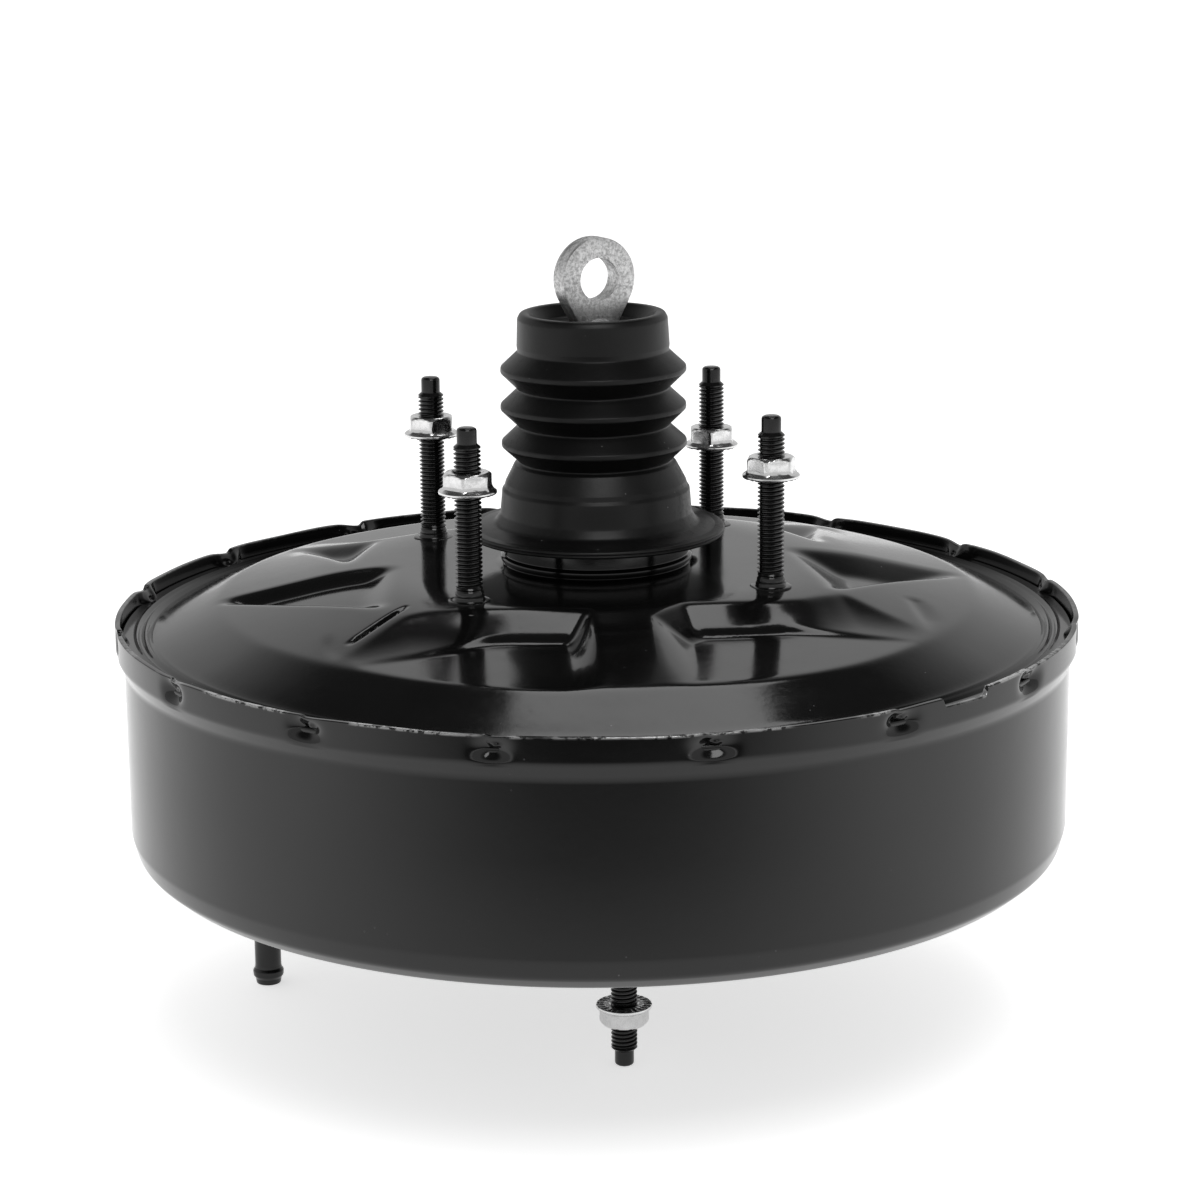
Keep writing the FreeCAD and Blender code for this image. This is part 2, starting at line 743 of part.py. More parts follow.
# Flange nuts
def make_nut(name, x, y, z, downward):
    body = new_body(name)
    turn(body, "Flange", [
        ("nut_bore_r", "0"),
        ("nut_flange_r", "0"),
        ("nut_flange_r", "nut_flange_thick"),
        ("nut_across / 2", "nut_flange_rise + nut_flange_thick"),
        ("nut_bore_r", "nut_flange_rise + nut_flange_thick"),
    ])
    hexagon = new_sketch(body, "Hexagon_outline", "XY_Plane")
    far = "nut_across / sqrt(3)"
    near = "nut_across / sqrt(3) / 2"
    flat = "nut_across / 2"
    draw_outline(hexagon, [
        (far, "0"), (near, flat), (f"-{near}", flat),
        (f"-{far}", "0"), (f"-{near}", f"-{flat}"), (near, f"-{flat}"),
    ])
    draw_circle(hexagon, "0", "0", "nut_bore_r")
    raise_sketch(body, "Hexagon", hexagon, "nut_thick")
    beyond = f"{flat} + 2 * nut_bevel"
    turn(body, "Bevel", [
        (f"{flat} - press_gap", "nut_thick + press_gap"),
        (beyond, "nut_thick + press_gap"),
        (beyond, "nut_thick - nut_bevel"),
    ], cut=True)
    if downward:
        body.Placement = FreeCAD.Placement(
            FreeCAD.Vector(0, 0, 0), FreeCAD.Rotation(FreeCAD.Vector(1, 0, 0), 180))
    tie(body, "Placement.Base.x", x)
    tie(body, "Placement.Base.y", y)
    tie(body, "Placement.Base.z", z)
    return body


def make_firewall_nuts():
    heights = ["nut_left_front", "nut_left_rear", "nut_right_front", "nut_right_rear"]
    nuts = [
        make_nut(f"FirewallNut{i}", x, y, z, False)
        for i, ((x, y), z) in enumerate(zip(STUD_SPOTS, heights), start=1)
    ]
    return group("firewall_nuts", nuts)


def make_cylinder_nuts():
    height = "cylinder_face_z - nut_cylinder"
    nuts = [
        make_nut(f"CylinderNut{i}", x, y, height, True)
        for i, (x, y) in enumerate(CYLINDER_SPOTS, start=1)
    ]
    return group("master_cylinder_nuts", nuts)


# Vacuum pipe
def make_vacuum_nipple():
    body = new_body("VacuumNipple")
    bead_low = "nipple_tip_z + nipple_bead_back"
    bead_high = f"{bead_low} + nipple_bead_len"
    turn(body, "Pipe", [
        ("nipple_bore_r", "pan_z + wall + nipple_swage_thick"),
        ("nipple_bore_r", "nipple_tip_z"),
        ("nipple_r - press_gap", "nipple_tip_z"),
        ("nipple_r", bead_low),
        ("nipple_bead_r", f"{bead_low} + nipple_bead_ramp"),
        ("nipple_bead_r", f"{bead_high} - nipple_bead_ramp"),
        ("nipple_r", bead_high),
        ("nipple_r", "pan_z - nipple_flange_thick"),
        ("nipple_flange_r", "pan_z - nipple_flange_thick"),
        ("nipple_flange_r", "pan_z"),
        ("nipple_r", "pan_z"),
        ("nipple_r", "pan_z + wall"),
        ("nipple_swage_r", "pan_z + wall"),
        ("nipple_swage_r", "pan_z + wall + nipple_swage_thick"),
    ])
    tie(body, "Placement.Base.x", "nipple_x")
    tie(body, "Placement.Base.y", "nipple_y")
    return finish(body, "vacuum_nipple")


# Dust boot
BOOT_FOLDS = 3


def make_dust_boot():
    body = new_body("DustBoot")
    hug = "neck_r + slack"
    outside = [
        (hug, "boot_foot_z"),
        ("boot_flange_r", "boot_foot_z"),
        ("boot_flange_r", "boot_foot_z + boot_flange_thick"),
        ("boot_skirt_r", "boot_foot_z + boot_flange_thick"),
        ("boot_skirt_r", "boot_skirt_z"),
        ("boot_ridge_r", "boot_shoulder_z"),
    ]
    inside = [
        (hug, "boot_skirt_z"),
        ("boot_ridge_r - boot_wall", "boot_shoulder_z"),
    ]
    for fold in range(BOOT_FOLDS):
        ridge = f"(boot_ridge_z + {fold} * boot_pitch)"
        for path, inset in ((outside, "0"), (inside, "boot_wall")):
            for side in ("-", "+"):
                valley = (f"boot_valley_r - {inset}", f"{ridge} {side} boot_flat {side} boot_fold / 2")
                crest = (f"boot_ridge_r - {inset}", f"{ridge} {side} boot_flat")
                path += [valley, crest] if side == "-" else [crest, valley]
    top_ridge = f"boot_ridge_z + {BOOT_FOLDS - 1} * boot_pitch"
    cap_base = f"{top_ridge} + boot_flat + boot_fold / 2"
    dish_z = "boot_cap_z - boot_dish"
    outside += [
        ("boot_cap_r", f"{cap_base} + boot_flat"),
        ("boot_cap_r", "boot_cap_z - boot_wall / 2"),
        ("boot_cap_r - boot_wall / 2", "boot_cap_z"),
        ("boot_cap_r - boot_lip", "boot_cap_z"),
        ("boot_cap_r - 2 * boot_lip", dish_z),
        ("boot_hole_r", dish_z),
        ("boot_hole_r", f"{dish_z} - boot_wall"),
    ]
    inside += [("boot_cap_r - boot_wall", f"{cap_base} + boot_flat")]
    inside += [("boot_cap_r - boot_wall", f"{dish_z} - boot_wall")]
    turn(body, "Boot", outside + inside[::-1])
    return finish(body, "dust_boot")


# Neck guide
def make_neck_parts():
    bore = "neck_r - wall - press_gap"
    shaft = "tube_r + running_gap"
    bearing_top = "bearing_z + bearing_len"
    bearing = washer("rear_bearing", shaft, bore, "bearing_z", bearing_top)
    seal_low = f"{bearing_top} + slack"
    seal_high = "neck_top_z - wall - slack"
    seal = new_body("RearSeal")
    turn(seal, "Lip", [
        ("tube_r + slack", seal_low),
        (bore, seal_low),
        (bore, seal_high),
        (f"{bore} - seal_lip", seal_high),
        (f"{bore} - seal_lip", f"{seal_low} + 2 * seal_lip"),
        ("tube_r + slack + seal_lip", f"{seal_low} + 2 * seal_lip"),
        ("tube_r + slack", f"{seal_high} - seal_lip"),
    ])
    low = "bearing_z - slack - bearing_retainer_len"
    retainer = washer(
        "rear_bearing_retainer", "neck_mouth_r", bore, low, "bearing_z - slack")
    return [bearing, finish(seal, "rear_seal"), retainer]


# Front seal
def make_front_seal_parts():
    pocket_top = "cylinder_face_z + pilot_depth + seal_pocket_depth"
    seal_top = f"{pocket_top} - slack"
    seal_low = f"{seal_top} - front_seal_len"
    fit = "seal_pocket_r - press_gap"
    seal = washer("front_seal", "output_r + slack", "seal_pocket_r - slack", seal_low, seal_top)
    ring_top = f"{seal_low} - slack"
    retainer = washer(
        "front_seal_retainer", "rod_hole_r", fit, f"{ring_top} - front_retainer_len", ring_top)
    return [seal, retainer]


# Diaphragm, its plate and clamp
def make_diaphragm():
    body = new_body("Diaphragm")
    top = "web_z"
    low = "web_z - diaphragm_wall"
    bead_r = "band_r - wall - flange_play"
    bead_top = "flange_z - wall - slack"
    turn(body, "Sheet", [
        ("hub_step_r + slack", top),
        ("roll_in_r + diaphragm_wall", top),
        ("roll_in_r + diaphragm_wall", "roll_z"),
        ("roll_in_r + diaphragm_wall + roll_slope", "roll_low_z + roll_wall"),
        ("bead_in_r - roll_slope / 2", "roll_low_z + roll_wall"),
        ("bead_in_r", "roll_z"),
        ("bead_in_r", bead_top),
        (bead_r, bead_top),
        (bead_r, "band_low_z + slack"),
        ("pan_room_r", "band_low_z - (band_r - shell_r) + 2 * slack"),
        ("pan_room_r", "bead_low_z"),
        ("bead_in_r + roll_wall", "bead_low_z"),
        ("bead_in_r + roll_wall", "roll_z"),
        ("bead_in_r - roll_slope / 2 + roll_wall / 2", "roll_low_z"),
        ("roll_in_r + roll_slope", "roll_low_z"),
        ("roll_in_r", "roll_z"),
        ("roll_in_r", low),
        ("hub_step_r + slack", low),
    ])
    return finish(body, "diaphragm")


PLATE_TOP = "web_z - diaphragm_wall - slack"


def make_diaphragm_plate():
    body = new_body("DiaphragmPlate")
    turn(body, "Plate", [
        ("hub_step_r + slack", PLATE_TOP),
        ("plate_r", PLATE_TOP),
        ("plate_r", "plate_rim_z"),
        ("plate_r - plate_wall", "plate_rim_z"),
        ("plate_r - plate_wall", f"{PLATE_TOP} - plate_wall"),
        ("hub_step_r + slack", f"{PLATE_TOP} - plate_wall"),
    ])
    return finish(body, "diaphragm_plate")


def make_diaphragm_retainer():
    low = "web_z + slack"
    return washer(
        "diaphragm_retainer", "tube_r + slack", "clamp_r", low, f"{low} + clamp_thick")


# Valve body
def make_valve_body():
    body = new_body("ValveBody")
    seat_out = "seat_r + seat_wall"
    shoulder = f"{PLATE_TOP} - plate_wall"
    turn(body, "Moulding", [
        ("tube_r", "tube_top_z"),
        ("tube_r", "web_z + slack"),
        ("hub_step_r", "web_z + slack"),
        ("hub_step_r", shoulder),
        ("hub_r", shoulder),
        ("hub_r", "hub_z"),
        ("spring_land_r", "hub_z"),
        ("boss_r", "boss_z"),
        ("boss_r", "hub_end_z"),
        ("reaction_bore_r", "hub_end_z"),
        ("reaction_bore_r", "reaction_top_z"),
        ("plunger_bore_r", "reaction_top_z"),
        ("plunger_bore_r", "chamber_z"),
        ("seat_r", "chamber_z"),
        ("seat_r", "seat_z"),
        (seat_out, "seat_z"),
        (seat_out, "chamber_z"),
        ("chamber_r", "chamber_z"),
        ("chamber_r", "ledge_z"),
        ("mouth_r", "ledge_z"),
        ("mouth_r", "tube_top_z"),
    ])
    slot = new_sketch(body, "KeySlot_outline", "XY_Plane", "key_z - slack")
    side = "key_half + slack"
    draw_outline(slot, [
        ("-key_back - slack", f"-({side})"),
        ("key_reach + hub_step_r", f"-({side})"),
        ("key_reach + hub_step_r", side),
        ("-key_back - slack", side),
    ])
    height = "key_thick + 2 * slack"
    raise_sketch(body, "KeySlot", slot, height, cut=True, reverse=True)
    hole = drill(body, "Passage", [("-passage_at", "0")], "passage_r", "hub_end_z - wall",
                 "chamber_z - hub_end_z + 2 * wall")
    ring = body.newObject("PartDesign::PolarPattern", "Passages")
    ring.Originals = [hole]
    ring.Axis = (hole.Profile[0], ["N_Axis"])
    tie(ring, "Angle", "passage_sweep")
    tie(ring, "Occurrences", "passage_count")
    body.Tip = ring
    return finish(body, "valve_body")


def make_valve_key():
    body = new_body("ValveKey")
    sketch = new_sketch(body, "Fork_outline", "XY_Plane", "key_z")
    draw_outline(sketch, [
        ("-key_back", "-key_half"),
        ("key_reach", "-key_half"),
        ("key_reach", "key_half"),
        ("-key_back", "key_half"),
        ("-key_back", "key_fork"),
        ("key_fork + slack", "key_fork"),
        ("key_fork + slack", "-key_fork"),
        ("-key_back", "-key_fork"),
    ])
    raise_sketch(body, "Fork", sketch, "key_thick")
    return finish(body, "valve_key")


# Plunger and push rod
def make_valve_plunger():
    body = new_body("ValvePlunger")
    socket_r = "ball_r + socket_gap"
    groove_high = "key_z + key_thick + plunger_travel + slack"
    turn(body, "Spool", [
        ("0", "reaction_top_z - slack + plunger_tip_gap"),
        ("plunger_r", "reaction_top_z - slack + plunger_tip_gap"),
        ("plunger_r", "key_z - slack"),
        ("plunger_neck_r", "key_z - slack"),
        ("plunger_neck_r", groove_high),
        ("plunger_r", groove_high),
        ("plunger_r", "plunger_head_z"),
        ("plunger_head_r", "plunger_head_z"),
        ("plunger_head_r", "plunger_rim_z"),
        ("socket_lip_r", "plunger_rim_z"),
        ("socket_lip_r", "plunger_rim_z - socket_lip / 2"),
        (socket_r, "plunger_rim_z - socket_lip"),
        (socket_r, "ball_z - ball_r / 2"),
        ("ball_r / 2", "ball_z - ball_r - socket_gap"),
        ("0", "ball_z - ball_r - socket_gap"),
    ])
    return finish(body, "valve_plunger")


def make_input_rod():
    body = new_body("InputRod")
    collar_low = "input_seat_z + input_seat_thick"
    turn(body, "Rod", [
        ("0", "ball_z"),
        ("rod_neck_r", "ball_z"),
        ("rod_neck_r", "rod_neck_z - (rod_r - rod_neck_r)"),
        ("rod_r", "rod_neck_z"),
        ("rod_r", collar_low),
        ("rod_collar_r", collar_low),
        ("rod_collar_r", f"{collar_low} + rod_collar_thick"),
        ("rod_r", f"{collar_low} + rod_collar_thick"),
        ("rod_r", "rod_top_z - rod_bevel"),
        ("rod_r - rod_bevel", "rod_top_z"),
        ("0", "rod_top_z"),
    ])
    ball = body.newObject("PartDesign::AdditiveSphere", "Ball")
    ball.AttachmentSupport = [(origin_plane(body, "XY_Plane"), "")]
    ball.MapMode = "FlatFace"
    tie(ball, "AttachmentOffset.Base.z", "ball_z")
    tie(ball, "Radius", "ball_r")
    body.Tip = ball
    cheek = new_sketch(body, "Cheek_outline")
    draw_outline(cheek, [
        ("-eye_neck_half", "eye_neck_z"),
        ("eye_neck_half", "eye_neck_z"),
        ("eye_neck_half", "eye_flare_z"),
        ("eye_cheek_half", "eye_cheek_z"),
        ("-eye_cheek_half", "eye_cheek_z"),
        ("-eye_neck_half", "eye_flare_z"),
    ])
    raise_sketch(body, "Cheek", cheek, "eye_thick", midplane=True)
    ring = new_sketch(body, "Ring_outline")
    draw_circle(ring, "0", "eye_z", "eye_r")
    raise_sketch(body, "Ring", ring, "eye_thick", midplane=True)
    hole = new_sketch(body, "Hole_outline")
    draw_circle(hole, "0", "eye_z", "eye_hole_r")
    raise_sketch(body, "Hole", hole, "2 * eye_thick", cut=True, midplane=True)
    tie(body, "Placement.Rotation.Angle", "eye_turn")
    return finish(body, "input_rod")


# Poppet group
def make_poppet_parts():
    face_low = "seat_z + slack"
    face_high = f"{face_low} + poppet_thick"
    flange_low = "ledge_z + slack"
    flange_high = f"{flange_low} + poppet_flange_thick"
    edge = "mouth_r - slack"
    poppet = new_body("Poppet")
    turn(poppet, "Rubber", [
        ("poppet_hole_r", face_low),
        ("poppet_face_r", face_low),
        ("poppet_face_r", face_high),
        ("poppet_tube_out", face_high),
        ("poppet_tube_out", flange_low),
        (edge, flange_low),
        (edge, flange_high),
        ("poppet_tube_in", flange_high),
        ("poppet_tube_in", face_high),
        ("poppet_hole_r", face_high),
    ])
    base = f"{flange_high} + slack"
    outer = "mouth_r - press_gap"
    retainer = new_body("PoppetRetainer")
    turn(retainer, "Cup", [
        ("poppet_hole_r", base),
        (outer, base),
        (outer, f"{base} + retainer_rise"),
        (f"{outer} - retainer_thick", f"{base} + retainer_rise"),
        (f"{outer} - retainer_thick", f"{base} + retainer_thick"),
        ("poppet_hole_r", f"{base} + retainer_thick"),
    ])
    poppet_spring = coil(
        "poppet_spring", "poppet_coil_r", "poppet_wire_r", "poppet_turns", face_high, base)
    input_spring = coil(
        "input_spring", "input_coil_r", "input_wire_r", "input_turns",
        f"{base} + retainer_thick", "input_seat_z")
    seat = washer(
        "input_spring_seat", "rod_r + press_gap", "input_seat_r",
        "input_seat_z", "input_seat_z + input_seat_thick")
    return [
        finish(poppet, "poppet_valve"), finish(retainer, "poppet_retainer"),
        poppet_spring, input_spring, seat,
    ]


def half_turn(body, name, side, coil_r, wire_r, level, pitch):
    """Half a turn of round wire on a tilted plane, climbing half the pitch to the other side."""
    sketch = new_sketch(body, name + "_outline")
    draw_circle(sketch, f"{side} * {coil_r}", level, wire_r)
    foot = ("0", f"{level} + {pitch} / 4")
    head = (f"{side} * {pitch} / 4", f"{level} + {pitch} / 4 + {coil_r}")
    ends = [FreeCAD.Vector(value(x), value(y), 0) for x, y in (foot, head)]
    axis = sketch.addGeometry(Part.LineSegment(*ends), True)
    for end, (x, y) in enumerate((foot, head), start=1):
        for kind, formula in (("DistanceX", x), ("DistanceY", y)):
            rule = Sketcher.Constraint(kind, -1, 1, axis, end, value(formula))
            tie(sketch, f"Constraints[{sketch.addConstraint(rule)}]", formula)
    feature = body.newObject("PartDesign::Revolution", name)
    feature.Profile = sketch
    feature.ReferenceAxis = (sketch, ["Axis0"])
    feature.Angle = 180
    body.Tip = feature
    return feature


def coil(label, coil_r, wire_r, turns, low, high):
    """A spring that just clears the two faces it works between.

    Each half turn starts and ends level, so the half turns join smoothly.
    """
    body = new_body(label)
    start = f"({low} + {wire_r} + press_gap)"
    pitch = f"(({high} - ({low}) - 2 * {wire_r} - 2 * press_gap) / {turns})"
    halves = [
        half_turn(body, label + "_out", 1, coil_r, wire_r, start, pitch),
        half_turn(body, label + "_back", -1, coil_r, wire_r, f"({start} + {pitch} / 2)", pitch),
    ]
    wound = body.newObject("PartDesign::LinearPattern", label + "_turns")
    wound.Originals = halves
    wound.Direction = (halves[0].Profile[0], ["V_Axis"])
    tie(wound, "Length", f"{pitch} * ({turns} - 1)")
    tie(wound, "Occurrences", turns)
    body.Tip = wound
    return finish(body, label)


def make_filters():
    edge = "mouth_r - slack"
    top = "filter_z + filter_len"
    felt = washer("air_filter", "filter_bore_r", edge, "filter_z", top)
    low = f"{top} + slack"
    foam = washer("silencer", "filter_bore_r", edge, low, f"{low} + silencer_len")
    return [felt, foam]


# Output side
def make_output_parts():
    disc_top = "reaction_top_z - slack"
    disc_low = f"{disc_top} - reaction_thick"
    head_top = f"{disc_low} - slack"
    head_low = f"{head_top} - output_head_thick"
    loose = "reaction_bore_r - slack"
    disc = washer("reaction_disc", "0", loose, disc_low, disc_top)
    rod = new_body("OutputRod")
    turn(rod, "Rod", [
        ("0", head_top),
        (loose, head_top),
        (loose, head_low),
        ("output_r", head_low),
        ("output_r", "output_end_z"),
        ("output_bore_r", "output_end_z"),
        ("output_bore_r", "output_end_z + output_bore_len"),
        ("0", "output_end_z + output_bore_len"),
    ])
    snap_top = f"{head_low} - slack"
    snap = washer(
        "output_rod_retainer", "snap_bore_r", "reaction_bore_r - press_gap",
        f"{snap_top} - snap_thick", snap_top)
    tip = new_body("OutputTip")
    shank = "output_bore_r - press_gap"
    turn(tip, "Screw", [
        ("0", "output_end_z + output_bore_len - slack"),
        (shank, "output_end_z + output_bore_len - slack"),
        (shank, "output_end_z - slack"),
        ("tip_r", "output_end_z - slack"),
        ("tip_r", "tip_z + tip_round"),
        ("tip_r - tip_round", "tip_z"),
        ("0", "tip_z"),
    ])
    spring = coil(
        "return_spring", "return_coil_r", "return_wire_r", "return_turns",
        "cylinder_face_z + wall + front_plate_thick", "hub_z")
    return [
        disc, finish(rod, "output_rod"), snap, finish(tip, "output_rod_tip"), spring,
    ]


parts = [
    make_front_shell(),
    make_rear_shell(),
    make_rear_reinforcement(),
    make_front_reinforcement(),
    make_firewall_studs(),
    make_firewall_nuts(),
    make_cylinder_studs(),
    make_cylinder_nuts(),
    make_vacuum_nipple(),
    make_dust_boot(),
    make_diaphragm(),
    make_diaphragm_plate(),
    make_diaphragm_retainer(),
    make_valve_body(),
    make_valve_key(),
    make_valve_plunger(),
    make_input_rod(),
]
parts += make_neck_parts()
parts += make_front_seal_parts()
parts += make_poppet_parts()
parts += make_filters()
parts += make_output_parts()
doc.recompute()

for thing in doc.Objects:
    if "Invalid" in thing.State or "Error" in thing.State:
        raise SystemExit(f"{thing.Name} did not compute: {thing.State}")
for thing in parts:
    if thing.Shape.isNull() or not thing.Shape.isValid() or not thing.Shape.Solids:
        raise SystemExit(f"{thing.Label} has no valid shape")

os.makedirs("parts", exist_ok=True)
for thing in parts:
    thing.Shape.exportStep(f"parts/{thing.Label}.step")
    print(f"{thing.Label}: {len(thing.Shape.Solids)} solids, {thing.Shape.Volume:.0f} mm3")
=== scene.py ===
import math
import random

import bmesh
import bpy
import numpy as np
from mathutils import Matrix, Vector


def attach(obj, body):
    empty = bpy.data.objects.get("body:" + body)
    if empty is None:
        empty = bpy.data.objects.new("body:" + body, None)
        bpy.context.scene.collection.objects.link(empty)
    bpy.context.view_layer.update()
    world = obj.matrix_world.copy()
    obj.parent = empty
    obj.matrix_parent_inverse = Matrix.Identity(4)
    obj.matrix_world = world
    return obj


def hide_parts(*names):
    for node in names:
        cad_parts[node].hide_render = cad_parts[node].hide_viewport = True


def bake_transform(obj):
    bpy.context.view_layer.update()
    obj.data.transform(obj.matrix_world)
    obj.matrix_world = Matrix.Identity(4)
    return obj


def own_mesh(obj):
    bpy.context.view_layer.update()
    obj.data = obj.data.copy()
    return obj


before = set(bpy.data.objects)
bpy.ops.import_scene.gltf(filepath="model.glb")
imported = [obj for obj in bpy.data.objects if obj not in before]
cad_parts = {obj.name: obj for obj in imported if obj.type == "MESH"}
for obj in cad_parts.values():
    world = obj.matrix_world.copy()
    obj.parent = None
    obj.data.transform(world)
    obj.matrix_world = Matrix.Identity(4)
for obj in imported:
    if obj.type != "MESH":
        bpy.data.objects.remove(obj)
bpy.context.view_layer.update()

MM = 0.001
TAU = 2 * math.pi

# Camera: the photograph's viewing angle, in the part's frame
CAMERA_AT = Vector((-0.16105, -0.9582, 0.2240))
CAMERA_AHEAD = Vector((0.16204, 0.95803, -0.2365)).normalized()
CAMERA_ROLL = -0.0084
CAMERA_LENS = 98.6
CAMERA_SENSOR = 36.0


def make_camera():
    data = bpy.data.cameras.new("camera")
    data.lens = CAMERA_LENS
    data.sensor_width = CAMERA_SENSOR
    right = CAMERA_AHEAD.cross(Vector((0, 0, 1))).normalized()
    up = right.cross(CAMERA_AHEAD)
    turned_right = right * math.cos(CAMERA_ROLL) + up * math.sin(CAMERA_ROLL)
    turned_up = up * math.cos(CAMERA_ROLL) - right * math.sin(CAMERA_ROLL)
    camera = bpy.data.objects.new("camera", data)
    bpy.context.collection.objects.link(camera)
    axes = Matrix((turned_right, turned_up, -CAMERA_AHEAD)).transposed().to_4x4()
    camera.matrix_world = Matrix.Translation(CAMERA_AT) @ axes
    bpy.context.scene.camera = camera


make_camera()


# Materials: the greys of dust and of steel under chipped paint, then the finishes
DUST_GREY = (0.3, 0.3, 0.31, 1)
SPECK_GREY = (0.3, 0.3, 0.3, 1)
CHIP_GREY = (0.62, 0.62, 0.62, 1)


class Finish:
    """One node material, with short calls for the nodes it needs."""

    def __init__(self, name, **values):
        self.material = bpy.data.materials.new(name)
        self.material.use_nodes = True
        self.tree = self.material.node_tree
        self.shader = self.tree.nodes["Principled BSDF"]
        self.place = self.node("ShaderNodeTexCoord").outputs["Object"]
        for socket, number in values.items():
            self.shader.inputs[socket.replace("_", " ")].default_value = number

    def node(self, kind, inputs=None, **settings):
        node = self.tree.nodes.new(kind)
        for key, setting in settings.items():
            setattr(node, key, setting)
        for key, source in (inputs or {}).items():
            self.feed(source, node.inputs[key])
        return node

    def feed(self, source, socket):
        if isinstance(source, bpy.types.NodeSocket):
            self.tree.links.new(source, socket)
        else:
            socket.default_value = source

    def set(self, socket, source):
        self.feed(source, self.shader.inputs[socket])

    def noise(self, scale, detail=2.0, rough=0.5, stretch=None):
        place = self.place
        if stretch:
            place = self.node(
                "ShaderNodeMapping", {"Vector": place, "Scale": stretch}).outputs[0]
        inputs = {"Vector": place, "Scale": scale, "Detail": detail, "Roughness": rough}
        return self.node("ShaderNodeTexNoise", inputs).outputs["Fac"]

    def cells(self, scale):
        inputs = {"Vector": self.place, "Scale": scale}
        return self.node("ShaderNodeTexVoronoi", inputs).outputs["Distance"]

    def span(self, source, low, high, to_low=0.0, to_high=1.0):
        """The source from low to high, mapped smoothly and held at both ends."""
        node = self.node("ShaderNodeMapRange", {
            "Value": source, "From Min": low, "From Max": high,
            "To Min": to_low, "To Max": to_high}, interpolation_type="SMOOTHSTEP")
        return node.outputs["Result"]

    def math(self, operation, first, second):
        return self.node(
            "ShaderNodeMath", {0: first, 1: second}, operation=operation).outputs[0]

    def mix(self, share, first, second):
        node = self.node("ShaderNodeMix", {0: share, 6: first, 7: second}, data_type="RGBA")
        return node.outputs[2]

    def shade(self, source, dark, light):
        """A grey colour between two levels."""
        return self.mix(source, (dark, dark, dark, 1), (light, light, light, 1))

    def attribute(self, name):
        return self.node("ShaderNodeAttribute", attribute_name=name).outputs["Fac"]

    def bump(self, height, distance, strength=1.0):
        inputs = {"Height": height, "Distance": distance, "Strength": strength}
        before = self.shader.inputs["Normal"].links
        if before:
            inputs["Normal"] = before[0].from_socket
        self.set("Normal", self.node("ShaderNodeBump", inputs).outputs["Normal"])


def make_shell_paint():
    """Gloss black paint: orange peel, hazy patches, dust, and bare steel where it is chipped."""
    f = Finish("shell_paint", IOR=1.48)
    haze = f.noise(11, 4, 0.6)
    smear = f.noise(26, 5, 0.65, stretch=(1, 1, 4))
    fine = f.noise(420, 3, 0.6)
    rough = f.math("ADD", f.span(haze, 0.3, 0.7, 0.07, 0.12), f.span(smear, 0.35, 0.75, 0.0, 0.06))
    rough = f.math("ADD", rough, f.span(fine, 0.5, 0.8, 0.0, 0.04))
    dust = f.span(f.cells(260), 0.0, 0.1, 1.0, 0.0)
    sparse = f.span(f.noise(70, 2), 0.6, 0.68)
    dust = f.math("MULTIPLY", dust, sparse)
    base = f.shade(f.noise(35, 4), 0.002, 0.005)
    base = f.mix(f.math("MULTIPLY", dust, 0.35), base, DUST_GREY)
    chip_noise = f.span(f.noise(330, 4, 0.7), 0.43, 0.52)
    chip_patch = f.span(f.noise(48, 2), 0.4, 0.56)
    chip = f.math("MULTIPLY", f.math("MULTIPLY", f.attribute("wear"), chip_noise), chip_patch)
    base = f.mix(chip, base, CHIP_GREY)
    f.set("Base Color", base)
    f.set("Metallic", f.math("MULTIPLY", chip, 0.9))
    f.set("Roughness", f.math("ADD", rough, f.math("MULTIPLY", chip, 0.15)))
    f.bump(f.noise(620, 2, 0.5), 0.00002, 0.35)
    f.bump(f.noise(75, 2, 0.4), 0.00012, 0.3)
    return f.material


def make_stud_black():
    """Black coating on the studs, satin with fine grain."""
    f = Finish("stud_black", IOR=1.5)
    f.set("Base Color", f.shade(f.noise(500, 3), 0.002, 0.006))
    f.set("Roughness", f.span(f.noise(300, 4, 0.6), 0.3, 0.7, 0.12, 0.26))
    f.bump(f.noise(1500, 3), 0.00003, 0.5)
    return f.material


def make_zinc(name, light, dark, rough_low, rough_high, grain, depth):
    """Zinc plate: bright with fine dull spangles."""
    f = Finish(name, Metallic=1.0)
    spangle = f.span(f.noise(grain, 5, 0.75), 0.36, 0.62)
    patch = f.noise(grain / 9, 3)
    tone = f.math("ADD", f.math("MULTIPLY", spangle, 0.65), f.math("MULTIPLY", patch, 0.35))
    f.set("Base Color", f.shade(tone, dark, light))
    f.set("Roughness", f.span(tone, 0.2, 0.8, rough_high, rough_low))
    f.bump(f.noise(grain, 5, 0.75), depth, 0.8)
    return f.material


def make_boot_rubber():
    """Matt black rubber with a grey bloom, moulding haze and dust specks."""
    f = Finish("boot_rubber", IOR=1.36)
    bloom = f.span(f.noise(34, 6, 0.7), 0.42, 0.75)
    powder = f.span(f.noise(900, 4, 0.8), 0.4, 0.75)
    grey = f.math("MULTIPLY", bloom, powder)
    specks = f.math("MULTIPLY", f.span(f.cells(340), 0.0, 0.12, 1.0, 0.0),
                    f.span(f.noise(120, 2), 0.56, 0.66))
    base = f.shade(grey, 0.003, 0.007)
    base = f.mix(f.math("MULTIPLY", specks, 0.6), base, SPECK_GREY)
    f.set("Base Color", base)
    f.set("Roughness", f.span(grey, 0.0, 0.7, 0.38, 0.6))
    f.bump(f.noise(1300, 4, 0.7), 0.00003, 0.7)
    f.bump(f.noise(160, 3), 0.00015, 0.5)
    return f.material


